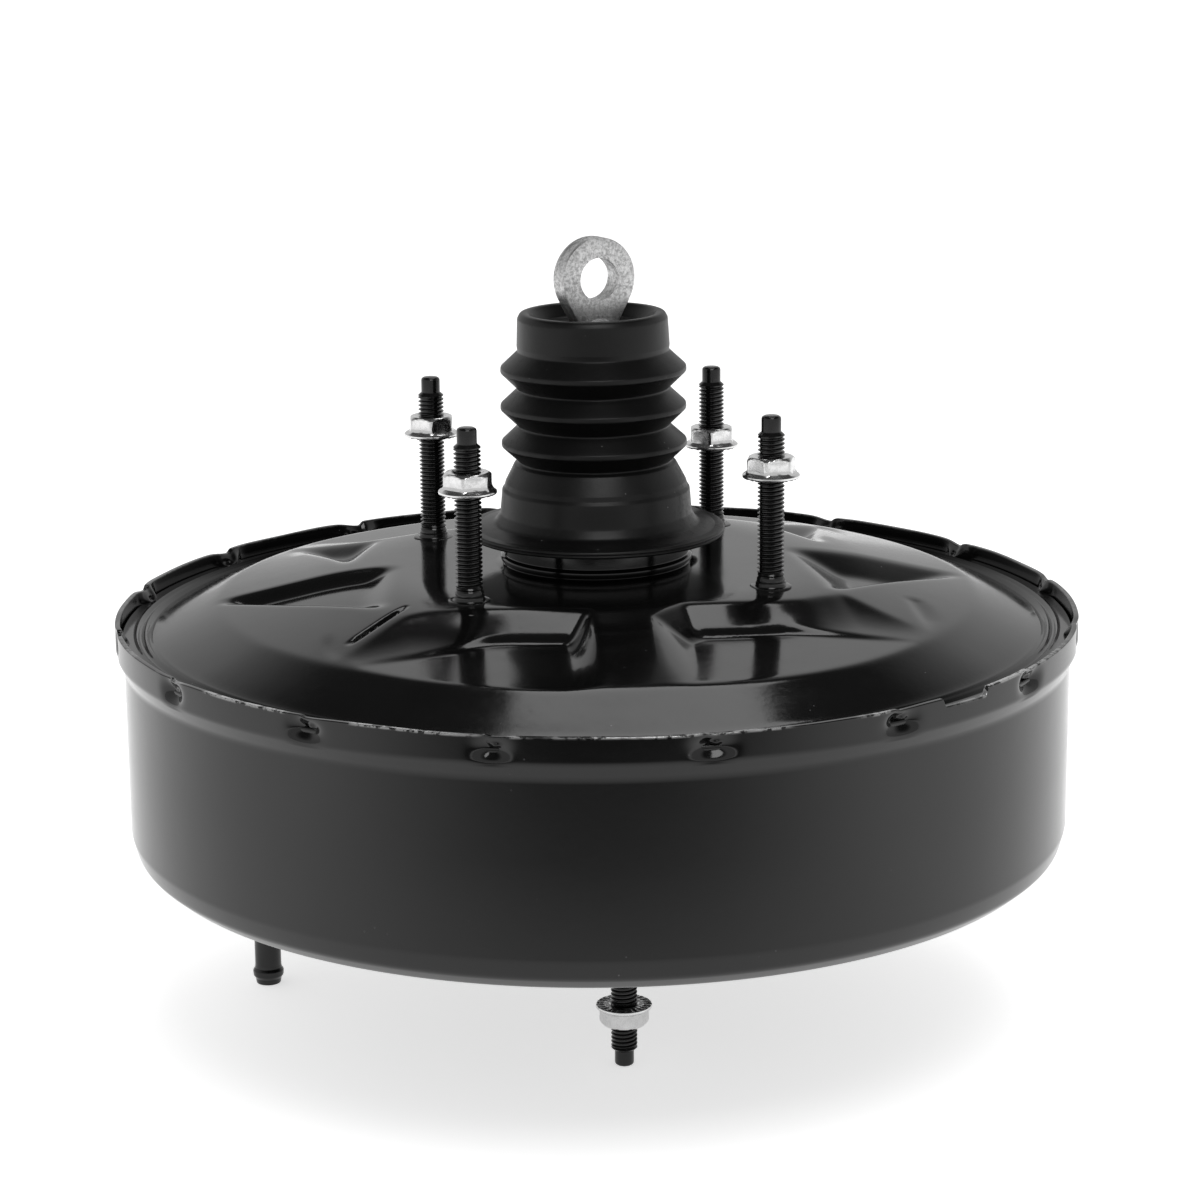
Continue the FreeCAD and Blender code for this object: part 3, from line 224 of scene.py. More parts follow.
def make_plain(name, dark, light, rough, grain, depth, tint=(1, 1, 1), metal=0.0):
    """A moulded, pressed or machined surface with mottling and fine relief."""
    f = Finish(name, Metallic=metal)
    tone = f.noise(grain, 4, 0.6)
    low = tuple(dark * part for part in tint) + (1,)
    high = tuple(light * part for part in tint) + (1,)
    f.set("Base Color", f.mix(f.span(tone, 0.3, 0.7), low, high))
    f.set("Roughness", f.span(f.noise(grain * 2, 3), 0.3, 0.7, rough - 0.08, rough + 0.08))
    f.bump(f.noise(grain * 4, 4, 0.6), depth, 0.6)
    return f.material


FINISHES = {
    "shell_paint": make_shell_paint(),
    "stud_black": make_stud_black(),
    "nut_zinc": make_zinc("nut_zinc", 0.84, 0.70, 0.16, 0.26, 420, 0.000006),
    "rod_zinc": make_zinc("rod_zinc", 0.80, 0.36, 0.36, 0.6, 1100, 0.00012),
    "boot_rubber": make_boot_rubber(),
    "seal_rubber": make_plain("seal_rubber", 0.02, 0.04, 0.5, 300, 0.00003),
    "bare_steel": make_plain("bare_steel", 0.45, 0.62, 0.36, 500, 0.00002, metal=1.0),
    "spring_steel": make_plain("spring_steel", 0.3, 0.46, 0.3, 800, 0.00002, metal=1.0),
    "phenolic": make_plain("phenolic", 0.13, 0.19, 0.42, 250, 0.00004, (1, 0.62, 0.38)),
    "white_plastic": make_plain("white_plastic", 0.7, 0.8, 0.4, 200, 0.00003, (1, 0.98, 0.9)),
    "filter_felt": make_plain("filter_felt", 0.42, 0.6, 0.9, 1400, 0.0003, (1, 0.97, 0.88)),
    "filter_foam": make_plain("filter_foam", 0.12, 0.24, 0.9, 1800, 0.0004),
}


# Mesh building
def mesh_piece(name, verts, faces, finish, sharp=40.0):
    """A mesh object in metres from points in millimetres, shaded smooth up to an angle."""
    mesh = bpy.data.meshes.new(name)
    mesh.from_pydata(np.asarray(verts, float) * MM, [], faces)
    bm = bmesh.new()
    bm.from_mesh(mesh)
    bmesh.ops.remove_doubles(bm, verts=bm.verts, dist=2e-7)
    bmesh.ops.dissolve_degenerate(bm, edges=bm.edges, dist=1e-7)
    bmesh.ops.recalc_face_normals(bm, faces=bm.faces)
    bm.to_mesh(mesh)
    bm.free()
    mesh.shade_smooth()
    mesh.set_sharp_from_angle(angle=math.radians(sharp))
    mesh.materials.append(FINISHES[finish])
    piece = bpy.data.objects.new(name, mesh)
    bpy.context.collection.objects.link(piece)
    return piece


def grid_faces(rows, cols):
    """Quads over a grid of points whose rows and columns both close on themselves."""
    here = np.arange(rows * cols).reshape(rows, cols)
    right = np.roll(here, -1, axis=1)
    above = np.roll(here, -1, axis=0)
    corner = np.roll(right, -1, axis=0)
    return np.stack([here, right, corner, above], axis=-1)


def rounded(corners, steps=5):
    """A closed outline of (radius, height, rounding) corners, each rounded by an arc."""
    points = []
    count = len(corners)
    for i, (r, z, radius) in enumerate(corners):
        here = np.array((r, z), float)
        back = np.array(corners[i - 1][:2], float) - here
        on = np.array(corners[(i + 1) % count][:2], float) - here
        back_len, on_len = np.linalg.norm(back), np.linalg.norm(on)
        back, on = back / back_len, on / on_len
        between = math.acos(max(-1.0, min(1.0, float(back @ on))))
        if radius <= 0 or between > math.radians(179):
            points.append(here)
            continue
        run = min(radius / math.tan(between / 2), 0.48 * back_len, 0.48 * on_len)
        start, end = here + back * run, here + on * run
        for step in range(steps + 1):
            t = step / steps
            points.append((1 - t) ** 2 * start + 2 * t * (1 - t) * here + t * t * end)
    return np.array(points)


def divided(path, longest):
    """The closed path with its long runs split so that no run is longer than given."""
    points = []
    for here, there in zip(path, np.roll(path, -1, axis=0)):
        parts = max(1, math.ceil(np.linalg.norm(there - here) / longest))
        points += [here + (there - here) * k / parts for k in range(parts)]
    return np.array(points)


def spun(path, cols):
    """Points of a path turned about Z, as (rows, cols, 3)."""
    angles = np.arange(cols) * TAU / cols
    r, z = path[:, :1], path[:, 1:]
    return np.stack([r * np.cos(angles), r * np.sin(angles), z + 0 * angles], axis=-1)


def lathe(name, corners, finish, cols=128, at=(0, 0, 0), steps=5):
    """A turned piece from a closed outline of (radius, height, rounding) corners."""
    points = spun(rounded(corners, steps), cols) + np.array(at)
    faces = grid_faces(*points.shape[:2]).reshape(-1, 4)
    return mesh_piece(name, points.reshape(-1, 3), faces, finish)


def place(piece, body, slot, node):
    """Lets a piece ride on a body and stand for a node; the slot is not used."""
    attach(piece, body)
    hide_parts(node)
    return piece


# The rear cover's stamped form: flat to FLAT_R, a cone from CONE_R to the bend, a steeper
# slope from there to the foot, and the flange
WALL = 1.6
FLAT_R, CONE_R = 58.0, 86.0
BEND_R, BEND_Z = 114.6, -9.2
FOOT_R, FOOT_Z = 134.0, -18.0
FLANGE_EDGE_R = 143.3
FLANGE_ROUND = 0.25
COVER_COLS = 900
# Rings of the cover's grid: first radius, last radius and spacing
COVER_RINGS = [
    (29.6, 50, 1.4), (50, 76, 0.45), (76, 104, 0.7), (104, 120, 0.5), (120, 133, 1.0),
    (133, 142.9, 0.33),
]
# Gutter rings outside the foot: radius, height, half width
GUTTER = [(134.9, -0.5, 0.5), (136.3, 0.9, 0.7), (137.7, -0.3, 0.5), (138.9, 0.7, 0.55)]

# Floor planes of the face pockets: height at the centre, rise per mm of x and of y
FLOOR_RIGHT = (-2.85, -0.0223, 0.0535)
FLOOR_LEFT = (-2.85, 0.0223, 0.0535)
# The wall behind each floor, by x: where it stands, how high its first step is, where its
# crest lies and how hollow its slope is
BACK_RIGHT = {
    "x": (19.5, 33, 43.5, 51, 58, 65, 73.4, 79, 84.7),
    "foot": (-72.4, -72.4, -71.3, -73.1, -75.2, -77.7, -80.1, -81.8, -83),
    "step": (1.2, 1.2, 1.1, 0.9, 0.8, 0.6, 0.3, 0.1, 0.1),
    "crest": (-59.2, -59.2, -58.4, -56.6, -52.5, -49.0, -60.6, -67.2, -73),
    "hollow": (0, 0, 0, 0.3, 0.55, 0.6, 0.6, 0.6, 0.6),
}
BACK_LEFT = {
    "x": (-84.2, -79, -73.4, -63.7, -57.9, -53.6, -46, -42.4, -37.1, -20.4, -11.5),
    "foot": (-78.5, -77.6, -76.4, -74.6, -73.4, -72.2, -68.6, -67.4, -67.6, -71.8, -73.6),
    "step": (0.1, 0.1, 0.3, 0.6, 0.8, 0.9, 1.1, 1.2, 1.2, 1.2, 1.2),
    "crest": (-71.3, -65.8, -60.0, -50.4, -49.7, -50.2, -51.8, -52.6, -54.0, -58.4, -60.7),
    "hollow": (0.5, 0.5, 0.5, 0.5, 0.4, 0.3, 0.1, 0, 0, 0, 0),
}
STEP_STEEP = 2.5
# Least height of the slope above the step, and of the spoke above the floor
LEAST_SLOPE, LEAST_RISE = 0.3, 0.2
# The face pockets lie further than this from the middle line, and this height cuts nothing
FACE_FROM_Y = 45
NO_POCKET = 9.0
# Twisted walls along the spoke: x of foot and crest at y of -75, and what they gain per mm of y
SPOKE_AT = -75.0
SPOKE_RIGHT = (13.6, 0.1416, 4.0, 0.092)
SPOKE_LEFT = (-20.8, 0.16, -13.4, 0.09)
# Foot line of the bank's left end, which rises to its left: two points and the slope
BANK_END = (14.0, -77.0, 19.5, -71.9, 0.52)
# The narrow fold pressed into the cover: two ends, depth, half width and taper at each end
CREASE = (-82.0, -62.4, -62.0, -41.4, 1.4, 0.85, 6)
# Corners of the side pockets, with the wall's slope under the edge from there
SIDE_RIGHT = [(60.0, 4.1, 0.45), (62.0, -46.0, 1.3), (113.5, -5.0, 0.3)]
SIDE_LEFT = [(-61.0, 3.0, 2.2), (-113.7, 6.5, 1.6), (-91.5, -18.5, 0.9), (-68.2, -40.5, 0.45)]
CORNER_RIGHT = [(62.0, 47.0, 0.62), (74.0, 14.0, 0.8), (86.0, 70.0, 0.66)]
CORNER_LEFT = [(-62.0, 47.0, 0.66), (-86.0, 70.0, 0.8), (-74.0, 14.0, 0.62)]
# Each side pocket with its greatest depth
SIDE_POCKETS = [(SIDE_RIGHT, 4.7), (SIDE_LEFT, 3.4), (CORNER_RIGHT, 4.2), (CORNER_LEFT, 4.2)]
# The round patch that softens creases: its sigma and its step
FACE_SOFT = (1.25, 0.65)
SIDE_SOFT = (1.9, 1.0)


def base_height(r):
    """The smooth cover without its pockets."""
    steep = -BEND_Z / ((BEND_R - FLAT_R) - (CONE_R - FLAT_R) / 2)
    ease = np.clip((r - FLAT_R) / (CONE_R - FLAT_R), 0, 1)
    cone = -steep * (np.clip(r - CONE_R, 0, None) + ease * ease * (CONE_R - FLAT_R) / 2)
    slope = BEND_Z + (r - BEND_R) * (FOOT_Z - BEND_Z) / (FOOT_R - BEND_R)
    return np.maximum(np.where(r < BEND_R, cone, slope), FOOT_Z)


def edge_distances(x, y, corners):
    """For each edge of a convex outline, its slope and the distance inside it."""
    area = sum(a[0] * b[1] - b[0] * a[1] for a, b in zip(corners, corners[1:] + corners[:1]))
    side = 1.0 if area > 0 else -1.0
    for (px, py, steep), (qx, qy, _) in zip(corners, corners[1:] + corners[:1]):
        length = math.hypot(qx - px, qy - py)
        yield steep, side * ((qx - px) * (y - py) - (qy - py) * (x - px)) / length


def pocket_height(x, y, floor, back, spoke):
    """Height of a face pocket: its tilted floor, the wall behind it and the spoke's wall."""
    at, per_x, per_y = floor
    ground = at + per_x * x + per_y * y
    foot, step, crest, hollow = (
        np.interp(x, back["x"], back[key]) for key in ("foot", "step", "crest", "hollow"))
    lip = at + per_x * x + per_y * foot + step
    top = np.maximum(base_height(np.hypot(x, crest)), lip + LEAST_SLOPE)
    share = (y - foot) / (crest - foot)
    bent = np.where(share > 0, share * (1 - hollow + hollow * share), share)
    height = np.maximum(
        ground, np.minimum(ground + STEP_STEEP * (y - foot), lip + (top - lip) * bent))
    foot_x, foot_lean, crest_x, crest_lean = spoke
    foot_x = foot_x + foot_lean * (y - SPOKE_AT)
    crest_x = crest_x + crest_lean * (y - SPOKE_AT)
    crest_ground = at + per_x * crest_x + per_y * y
    rise = np.maximum(base_height(np.hypot(crest_x, y)) - crest_ground, LEAST_RISE)
    return np.maximum(height, ground + rise * (x - foot_x) / (crest_x - foot_x))


def face_height(x, y):
    """The cover with its face pockets, those behind mirrored from those in front."""
    front = -abs(y)
    right = pocket_height(x, front, FLOOR_RIGHT, BACK_RIGHT, SPOKE_RIGHT)
    ax, ay, bx, by, steep = BANK_END
    inside = ((bx - ax) * (front - ay) - (by - ay) * (x - ax)) / math.hypot(bx - ax, by - ay)
    at, per_x, per_y = FLOOR_RIGHT
    right = np.maximum(right, at + per_x * x + per_y * front + steep * inside)
    left = pocket_height(x, front, FLOOR_LEFT, BACK_LEFT, SPOKE_LEFT)
    pocket = np.where(x > 0, right, left)
    pocket = np.where(abs(y) > FACE_FROM_Y, pocket, NO_POCKET)
    return np.minimum(base_height(np.hypot(x, y)), pocket)


def crease_depth(x, y):
    """Depth of the narrow fold."""
    ax, ay, bx, by, deep, half, taper = CREASE
    length = math.hypot(bx - ax, by - ay)
    along = ((x - ax) * (bx - ax) + (y - ay) * (by - ay)) / length
    across = ((bx - ax) * (y - ay) - (by - ay) * (x - ax)) / length
    ends = np.clip(along / taper, 0, 1) * np.clip((length - along) / taper, 0, 1)
    return deep * ends * np.exp(-(across / half) ** 2)


def side_depth(x, y):
    """Depth of the side pockets below the cover's cone."""
    total = np.zeros(np.shape(x))
    for corners, deepest in SIDE_POCKETS:
        depth = np.full(np.shape(x), deepest)
        for steep, inside in edge_distances(x, y, corners):
            depth = np.minimum(depth, steep * inside)
        total = np.maximum(total, depth)
    return total


def softened(surface, x, y, sigma, step, reach=4):
    """A surface averaged over a small round patch, which rounds its creases."""
    total, weight = 0.0, 0.0
    for i in range(-reach, reach + 1):
        for j in range(-reach, reach + 1):
            share = math.exp(-(i * i + j * j) * step * step / (2 * sigma * sigma))
            total = total + share * surface(x + i * step, y + j * step)
            weight += share
    return total / weight


def soft_height(x, y):
    """The cover's outside with all its pockets, creases softened."""
    face = softened(face_height, x, y, *FACE_SOFT)
    return face - softened(side_depth, x, y, *SIDE_SOFT) - crease_depth(x, y)


def gutter_height(r):
    """Rings in the gutter around the cover."""
    rise = 0.0
    for centre, height, width in GUTTER:
        rise = rise + height * np.exp(-((r - centre) / width) ** 2)
    return rise


def make_rear_cover():
    """The cover's outside, its flange, its inside one wall below, and the rolled neck."""
    rings = [np.arange(*ring) for ring in COVER_RINGS]
    radii = np.concatenate(rings + [[FLANGE_EDGE_R - FLANGE_ROUND]])
    angles = np.arange(COVER_COLS) * TAU / COVER_COLS
    x, y = radii[:, None] * np.cos(angles), radii[:, None] * np.sin(angles)
    height = soft_height(x, y) + gutter_height(radii)[:, None]
    top = np.stack([x, y, height], axis=-1)
    slope = np.gradient(height, axis=0) / np.gradient(radii)[:, None]
    drop = WALL * np.sqrt(1 + slope * slope)
    every_second_back = slice(None, None, -2)
    under = np.stack([x, y, height - drop], axis=-1)[every_second_back]
    neck_up = rounded([
        (21.5, 18.0, 0), (21.5, 19.6, 0.4), (26.7, 19.6, 1.4), (26.7, 8.4, 0.8),
        (28.0, 7.4, 0.8), (28.0, 3.2, 0.5), (29.1, 2.4, 0.9), (28.9, 1.1, 0.9),
        (27.9, 0.5, 0.4), (28.6, 0.0, 0.4),
    ])
    edge = np.array([
        (FLANGE_EDGE_R, FOOT_Z - FLANGE_ROUND), (FLANGE_EDGE_R, FOOT_Z - WALL + FLANGE_ROUND)])
    neck_down = rounded([(26.9, -1.6, 0), (25.1, -1.2, 0.8), (25.1, 10.0, 0), (25.1, 18.0, 0.8)])
    points = np.concatenate([
        spun(neck_up, COVER_COLS), top, spun(edge, COVER_COLS), under,
        spun(neck_down, COVER_COLS),
    ])
    faces = grid_faces(*points.shape[:2]).reshape(-1, 4)
    piece = mesh_piece("rear_cover", points.reshape(-1, 3), faces, "shell_paint", 50)
    place(piece, "housing", "shell_paint", "rear_shell")


make_rear_cover()


# The front pan with its lanced rim
RIM_Z = -13.8
BAND_R = 145.3
# Where the flared band starts, and where its crest starts to vary
BAND_FROM_R, BAND_FROM_Z = 143.0, -22.6
CREST_FROM_Z = -22.0
PAN_COLS = 1440
# The outline is finer near the rim: inner radius, lowest z and longest run
FINE = (140, -27, 0.42)
LANCE_STEP = 22.5
LANCE_PHASE = 2.3
LANCE_SEED = 7
# Dent of each lance: depth, half width, z and half height
DENT = (2.8, 4.8, -17.8, 3.0)
# Tongue pushed out in each dent: height, place, half width, z and half height
TONGUE = (1.2, 1.5, 1.2, -16.6, 0.8)
# Dip of the crest over each lance: depth in front, more behind, width to each side
DIP = (0.4, 0.9, 1.1, 5.5)
# The crest's tilt towards the rear and its ripple
CREST_TILT, CREST_RIPPLE = 0.45, 0.12
# Low part of the rim's crest at the front right: centre and half width in degrees, drop
LOW_STEP = (-55.4, 3.6, 2.4)
LOW_STEP_EDGE = 0.5
# Chipped edge of the rim: inner radius and lowest z, how far below the crest it reaches, and
# azimuth, half width and fade in degrees
WEAR_FROM_R, WEAR_FROM_Z = 140, -19.0
WEAR_DEPTH = 0.55
WEAR_AT = (-100, 75, 25)
WEAR_LEAST = 0.12


def turn_between(angle, centre):
    """Degrees from the centre, from -180 to 180."""
    return (angle - centre + 180) % 360 - 180


def lances():
    """Each lance's azimuth, size and skew, the same in each run."""
    draw = random.Random(LANCE_SEED)
    for k in range(round(360 / LANCE_STEP)):
        yield (
            LANCE_PHASE + LANCE_STEP * k + draw.uniform(-0.6, 0.6),
            draw.uniform(0.85, 1.15),
            draw.uniform(-1.0, 1.0),
        )


def make_front_pan():
    """The pan from its closed outline, its band dented by the lances, its crest uneven."""
    corners = [
        (8.5, -76.0, 0.3), (14.5, -76.0, 0.6), (14.5, -84.0, 0.8), (20.3, -84.0, 1.0),
        (20.3, -95.4, 1.6), (56.0, -95.4, 4.0), (64.0, -89.0, 4.0), (121.5, -89.0, 0.0),
        (131.0, -88.6, 8.0), (137.2, -86.6, 6.0), (141.4, -83.0, 4.0), (142.9, -77.5, 6.0),
        (142.9, -50.0, 0), (142.9, -26.6, 5.0),
        (BAND_R, -21.8, 3.2), (BAND_R, RIM_Z, 0.35),
        (143.7, RIM_Z, 0.35), (143.7, -22.2, 1.5), (141.3, -25.2, 2.0), (141.3, -77.3, 6.0),
        (139.9, -82.2, 4.0), (136.3, -85.2, 6.0), (130.7, -87.0, 8.0), (121.5, -87.4, 0.0),
        (64.0, -87.4, 4.0), (56.0, -93.8, 4.0),
        (21.9, -93.8, 1.2), (21.9, -82.4, 1.0), (16.1, -82.4, 0.8), (16.1, -74.4, 0.8),
        (8.5, -74.4, 0.3),
    ]
    path = rounded(corners)
    fine_r, fine_z, fine_run = FINE
    near_rim = (path[:, 1] > fine_z) & (path[:, 0] > fine_r)
    first, last = np.flatnonzero(near_rim)[[0, -1]]
    band = divided(path[first:last + 1], fine_run)[:-1]
    path = np.concatenate([path[:first], band, path[last + 1:]])
    angles = np.degrees(np.arange(PAN_COLS) * TAU / PAN_COLS)[None, :]
    r, z = path[:, :1] + 0 * angles, path[:, 1:] + 0 * angles
    upper = np.clip((z - CREST_FROM_Z) / (RIM_Z - CREST_FROM_Z), 0, 1)
    in_band = (r > BAND_FROM_R) & (z > BAND_FROM_Z)
    crest = 0.0 * angles
    dent = 0.0 * r
    deep, dent_half, dent_z, dent_tall = DENT
    high, tongue_at, tongue_half, tongue_z, tongue_tall = TONGUE
    dip_front, dip_behind, dip_before, dip_after = DIP
    for azimuth, size, skew in lances():
        off = turn_between(angles, azimuth) * math.radians(1) * BAND_R
        behind = 0.5 + 0.5 * math.sin(math.radians(azimuth))
        fall = np.exp(-(off / np.where(off < 0, dip_before, dip_after)) ** 2)
        crest = crest - (dip_front + dip_behind * behind) * size * fall
        shape = np.exp(-(abs(off) / (dent_half * size)) ** 2.4)
        shape = shape * np.exp(-((z - dent_z) / dent_tall) ** 2)
        tongue = np.exp(-((off - tongue_at - skew) / tongue_half) ** 2)
        tongue = tongue * np.exp(-((z - tongue_z) / tongue_tall) ** 2)
        dent = dent - deep * size * shape + high * tongue
    around = np.radians(angles)
    crest = crest + CREST_TILT * np.sin(around)
    crest = crest + CREST_RIPPLE * (
        np.sin(np.radians(angles * 5)) * np.sin(np.radians(angles * 23 + 40)))
    centre, half, drop = LOW_STEP
    low = (half - abs(turn_between(angles, centre))) / LOW_STEP_EDGE + 0.5
    crest = crest - drop * np.clip(low, 0, 1)
    z = z + crest * upper * upper * (3 - 2 * upper) * in_band
    r = r + dent * in_band
    points = np.stack([r * np.cos(around), r * np.sin(around), z], axis=-1)
    faces = grid_faces(*points.shape[:2]).reshape(-1, 4)
    piece = mesh_piece("front_pan", points.reshape(-1, 3), faces, "shell_paint", 50)
    add_wear(piece.data, crest[0])
    place(piece, "housing", "shell_paint", "front_shell")


def add_wear(mesh, crest):
    """The share of chipped paint at each point, along the crest of the rim."""
    x, y, z = points_of(mesh).T
    around = np.degrees(np.arctan2(y, x))
    column = np.round((around % 360) / 360 * PAN_COLS).astype(int) % PAN_COLS
    wear = np.clip(z - WEAR_FROM_Z, 0, 1) * (np.hypot(x, y) > WEAR_FROM_R)
    wear = wear * np.clip(1 - (RIM_Z + crest[column] - z) / WEAR_DEPTH, 0, 1)
    centre, half, fade = WEAR_AT
    wear = wear * np.clip((half - abs(turn_between(around, centre))) / fade, WEAR_LEAST, 1)
    layer = mesh.attributes.new("wear", "FLOAT", "POINT")
    layer.data.foreach_set("value", wear.astype(np.float32))


def points_of(mesh):
    """The mesh's points in millimetres."""
    flat = np.empty(len(mesh.vertices) * 3)
    mesh.vertices.foreach_get("co", flat)
    return flat.reshape(-1, 3) / MM


make_front_pan()


# Studs
STUD_X, STUD_Y = 44.45, 43.2
STUD_LEN = 50.6
PITCH = 1.25
THREAD_R, THREAD_ROOT = 3.95, 3.28
THREAD_FROM, THREAD_TO = 3.6, 45.0
THREAD_FADE = 0.9
# One turn of the thread's form: share of the pitch, and height from root to crest
THREAD_FORM = [(0.0, 1.0), (0.125, 1.0), (0.4, 0.04), (0.52, 0.0), (0.73, 0.04)]
STUD_COLS = 40


def stud_points():
    """A stud from its head to its dog point, its thread one continuous helix."""
    blank = [
        (0.0, -6.1), (8.4, -6.1), (9.0, -5.6), (9.0, -4.1), (8.6, -3.6), (6.15, -3.6),
        (6.15, 0.0), (6.0, 0.1), (4.7, 0.1), (4.45, 0.4), (4.4, 1.3), (4.1, 1.6), (4.1, 2.6),
        (3.9, 2.9),
        (THREAD_R - 0.2, THREAD_FROM - 0.4), (THREAD_R, THREAD_FROM),
    ]
    dog = [
        (THREAD_R, THREAD_TO), (3.6, THREAD_TO + 0.35), (2.95, THREAD_TO + 0.9),
        (2.9, THREAD_TO + 1.2), (2.9, STUD_LEN - 0.9), (2.75, STUD_LEN - 0.4),
        (2.2, STUD_LEN), (0.0, STUD_LEN),
    ]
    turns = np.linspace(0, 1, STUD_COLS + 1)
    angles = turns * TAU

    def level(radius, z):
        return np.stack([radius * np.cos(angles), radius * np.sin(angles), z + 0 * angles], -1)

    rows = [level(r, z) for r, z in blank]
    count = math.ceil((THREAD_TO - THREAD_FROM) / PITCH)
    for turn in range(-1, count + 1):
        for phase, tall in THREAD_FORM:
            z = THREAD_FROM + (turn + phase + turns) * PITCH
            z = np.clip(z, THREAD_FROM, THREAD_TO)
            fade = np.clip(np.minimum(z - THREAD_FROM, THREAD_TO - z) / THREAD_FADE, 0, 1)
            radius = THREAD_R - (THREAD_R - THREAD_ROOT) * (1 - tall) * fade
            rows.append(np.stack([radius * np.cos(angles), radius * np.sin(angles), z], -1))
    rows += [level(r, z) for r, z in dog]
    return np.array(rows)


STUD_POINTS = stud_points()


def make_stud(name, at, flip, node):
    points = STUD_POINTS * np.array((1, -1, -1) if flip else (1, 1, 1)) + np.array(at)
    rows, cols = points.shape[:2]
    here = np.arange(rows * cols).reshape(rows, cols)
    faces = np.stack([here[:-1, :-1], here[:-1, 1:], here[1:, 1:], here[1:, :-1]], -1)
    piece = mesh_piece(name, points.reshape(-1, 3), faces.reshape(-1, 4), "stud_black", 38)
    place(piece, "housing", "stud_black", node)


# Flange nuts: top, half of the width over flats and over corners, tooth height and count
NUT_COLS = 96
NUT_TOP = 6.5
NUT_HALF, NUT_CORNER = 6.5, 7.38
TOOTH, TEETH = 0.28, 24


def nut_points():
    """A nut from its bore's lower edge, out over the toothed flange and up the hexagon."""
    angles = np.arange(NUT_COLS) * TAU / NUT_COLS
    off = (np.degrees(angles) + 30) % 60 - 30
    hexagon = np.minimum(NUT_HALF / np.cos(np.radians(abs(off) - 30)), NUT_CORNER)
    teeth = 0.5 + 0.5 * np.sign(np.sin(angles * TEETH))

    def ring(radius, z):
        return np.stack([radius * np.cos(angles), radius * np.sin(angles), z + 0 * angles], -1)

    def within(limit):
        return np.minimum(hexagon, limit)

    rows = [
        ring(4.0, 0.7), ring(4.6, 0.15), ring(6.0, 0.15), ring(6.2, TOOTH * teeth),
        ring(8.0, TOOTH * teeth), ring(8.35, 0.25), ring(8.45, 0.55),
        ring(8.4, 0.95), ring(8.15, 1.2), ring(7.75, 1.45),
        ring(np.maximum(within(7.6) + 0.25, 6.9), 1.9), ring(within(7.45) + 0.1, 2.4),
        ring(hexagon, 2.9), ring(hexagon, 5.3), ring(within(7.2), 5.62),
        ring(within(6.85), 5.95), ring(within(6.45), 6.25), ring(within(6.2), 6.42),
        ring(5.95, NUT_TOP), ring(4.85, NUT_TOP), ring(4.3, 6.2), ring(4.0, 5.9),
    ]
    return np.array(rows)


NUT_POINTS = nut_points()


def make_nut(name, at, turn, flip, node):
    turn = math.radians(turn)
    x, y, z = np.moveaxis(NUT_POINTS, -1, 0)
    points = np.stack([
        x * math.cos(turn) - y * math.sin(turn), x * math.sin(turn) + y * math.cos(turn), z], -1)
    points = points * np.array((1, -1, -1) if flip else (1, 1, 1)) + np.array(at)
    faces = grid_faces(*points.shape[:2]).reshape(-1, 4)
    piece = mesh_piece(name, points.reshape(-1, 3), faces, "nut_zinc", 28)
    place(piece, "housing", "nut_zinc", node)


# Name, x and y sign, height of the nut's underside, turn of its hexagon
FIREWALL = [
    ("left_front", -1, -1, 31.3, 12.0), ("left_rear", -1, 1, 32.1, 24.0),
    ("right_front", 1, -1, 32.3, 6.0), ("right_rear", 1, 1, 25.1, 18.0),
]
for side, sx, sy, height, turn in FIREWALL:
    spot = (sx * STUD_X, sy * STUD_Y)
    make_stud("stud_" + side, spot + (0.0,), False, "firewall_studs")
    make_nut("nut_" + side, spot + (height,), turn, False, "firewall_nuts")
CYLINDER_FACE_Z = -95.4
LOWER_NUT_DROP = 31.1
for side, sy, turn in (("front", -1, 10.0), ("rear", 1, 40.0)):
    spot = (0.0, sy * STUD_Y)
    make_stud("lower_stud_" + side, spot + (CYLINDER_FACE_Z,), True, "master_cylinder_studs")
    height = CYLINDER_FACE_Z - LOWER_NUT_DROP
    make_nut("lower_nut_" + side, spot + (height,), turn, True, "master_cylinder_nuts")


# Vacuum pipe
NIPPLE_X, NIPPLE_Y = -100.3, 48.4
place(lathe("vacuum_pipe", [
    (2.9, -86.2, 0.2), (2.9, -146.0, 0.4), (3.9, -146.0, 0.5), (4.15, -144.2, 0.5),
    (4.85, -143.2, 0.8), (4.95, -141.6, 0.8), (4.3, -140.6, 0.4), (4.2, -139.6, 0.5),
    (4.2, -92.5, 1.0), (4.9, -91.2, 0.8), (9.0, -90.9, 0.6), (9.0, -89.0, 0.3),
    (4.2, -89.0, 0), (4.2, -87.4, 0), (5.6, -87.4, 0.2), (5.6, -86.2, 0.4),
], "stud_black", cols=72, at=(NIPPLE_X, NIPPLE_Y, 0)), "housing", "stud_black", "vacuum_nipple")


# Dust boot
BOOT_TOP = 76.0
BOOT_FOOT = 9.0
RIDGES = (36.7, 47.85, 59.0)
# Sideways lean per mm of height from LEAN_FROM on, and slight tilt of the folds
BOOT_LEAN, LEAN_FROM = 0.012, 20.0
BOOT_TILT = 0.004
# Moulding seam on the skirt: azimuth, half width in degrees, height
SEAM = (-36.0, 1.1, 0.22)
BOOT_COLS = 144


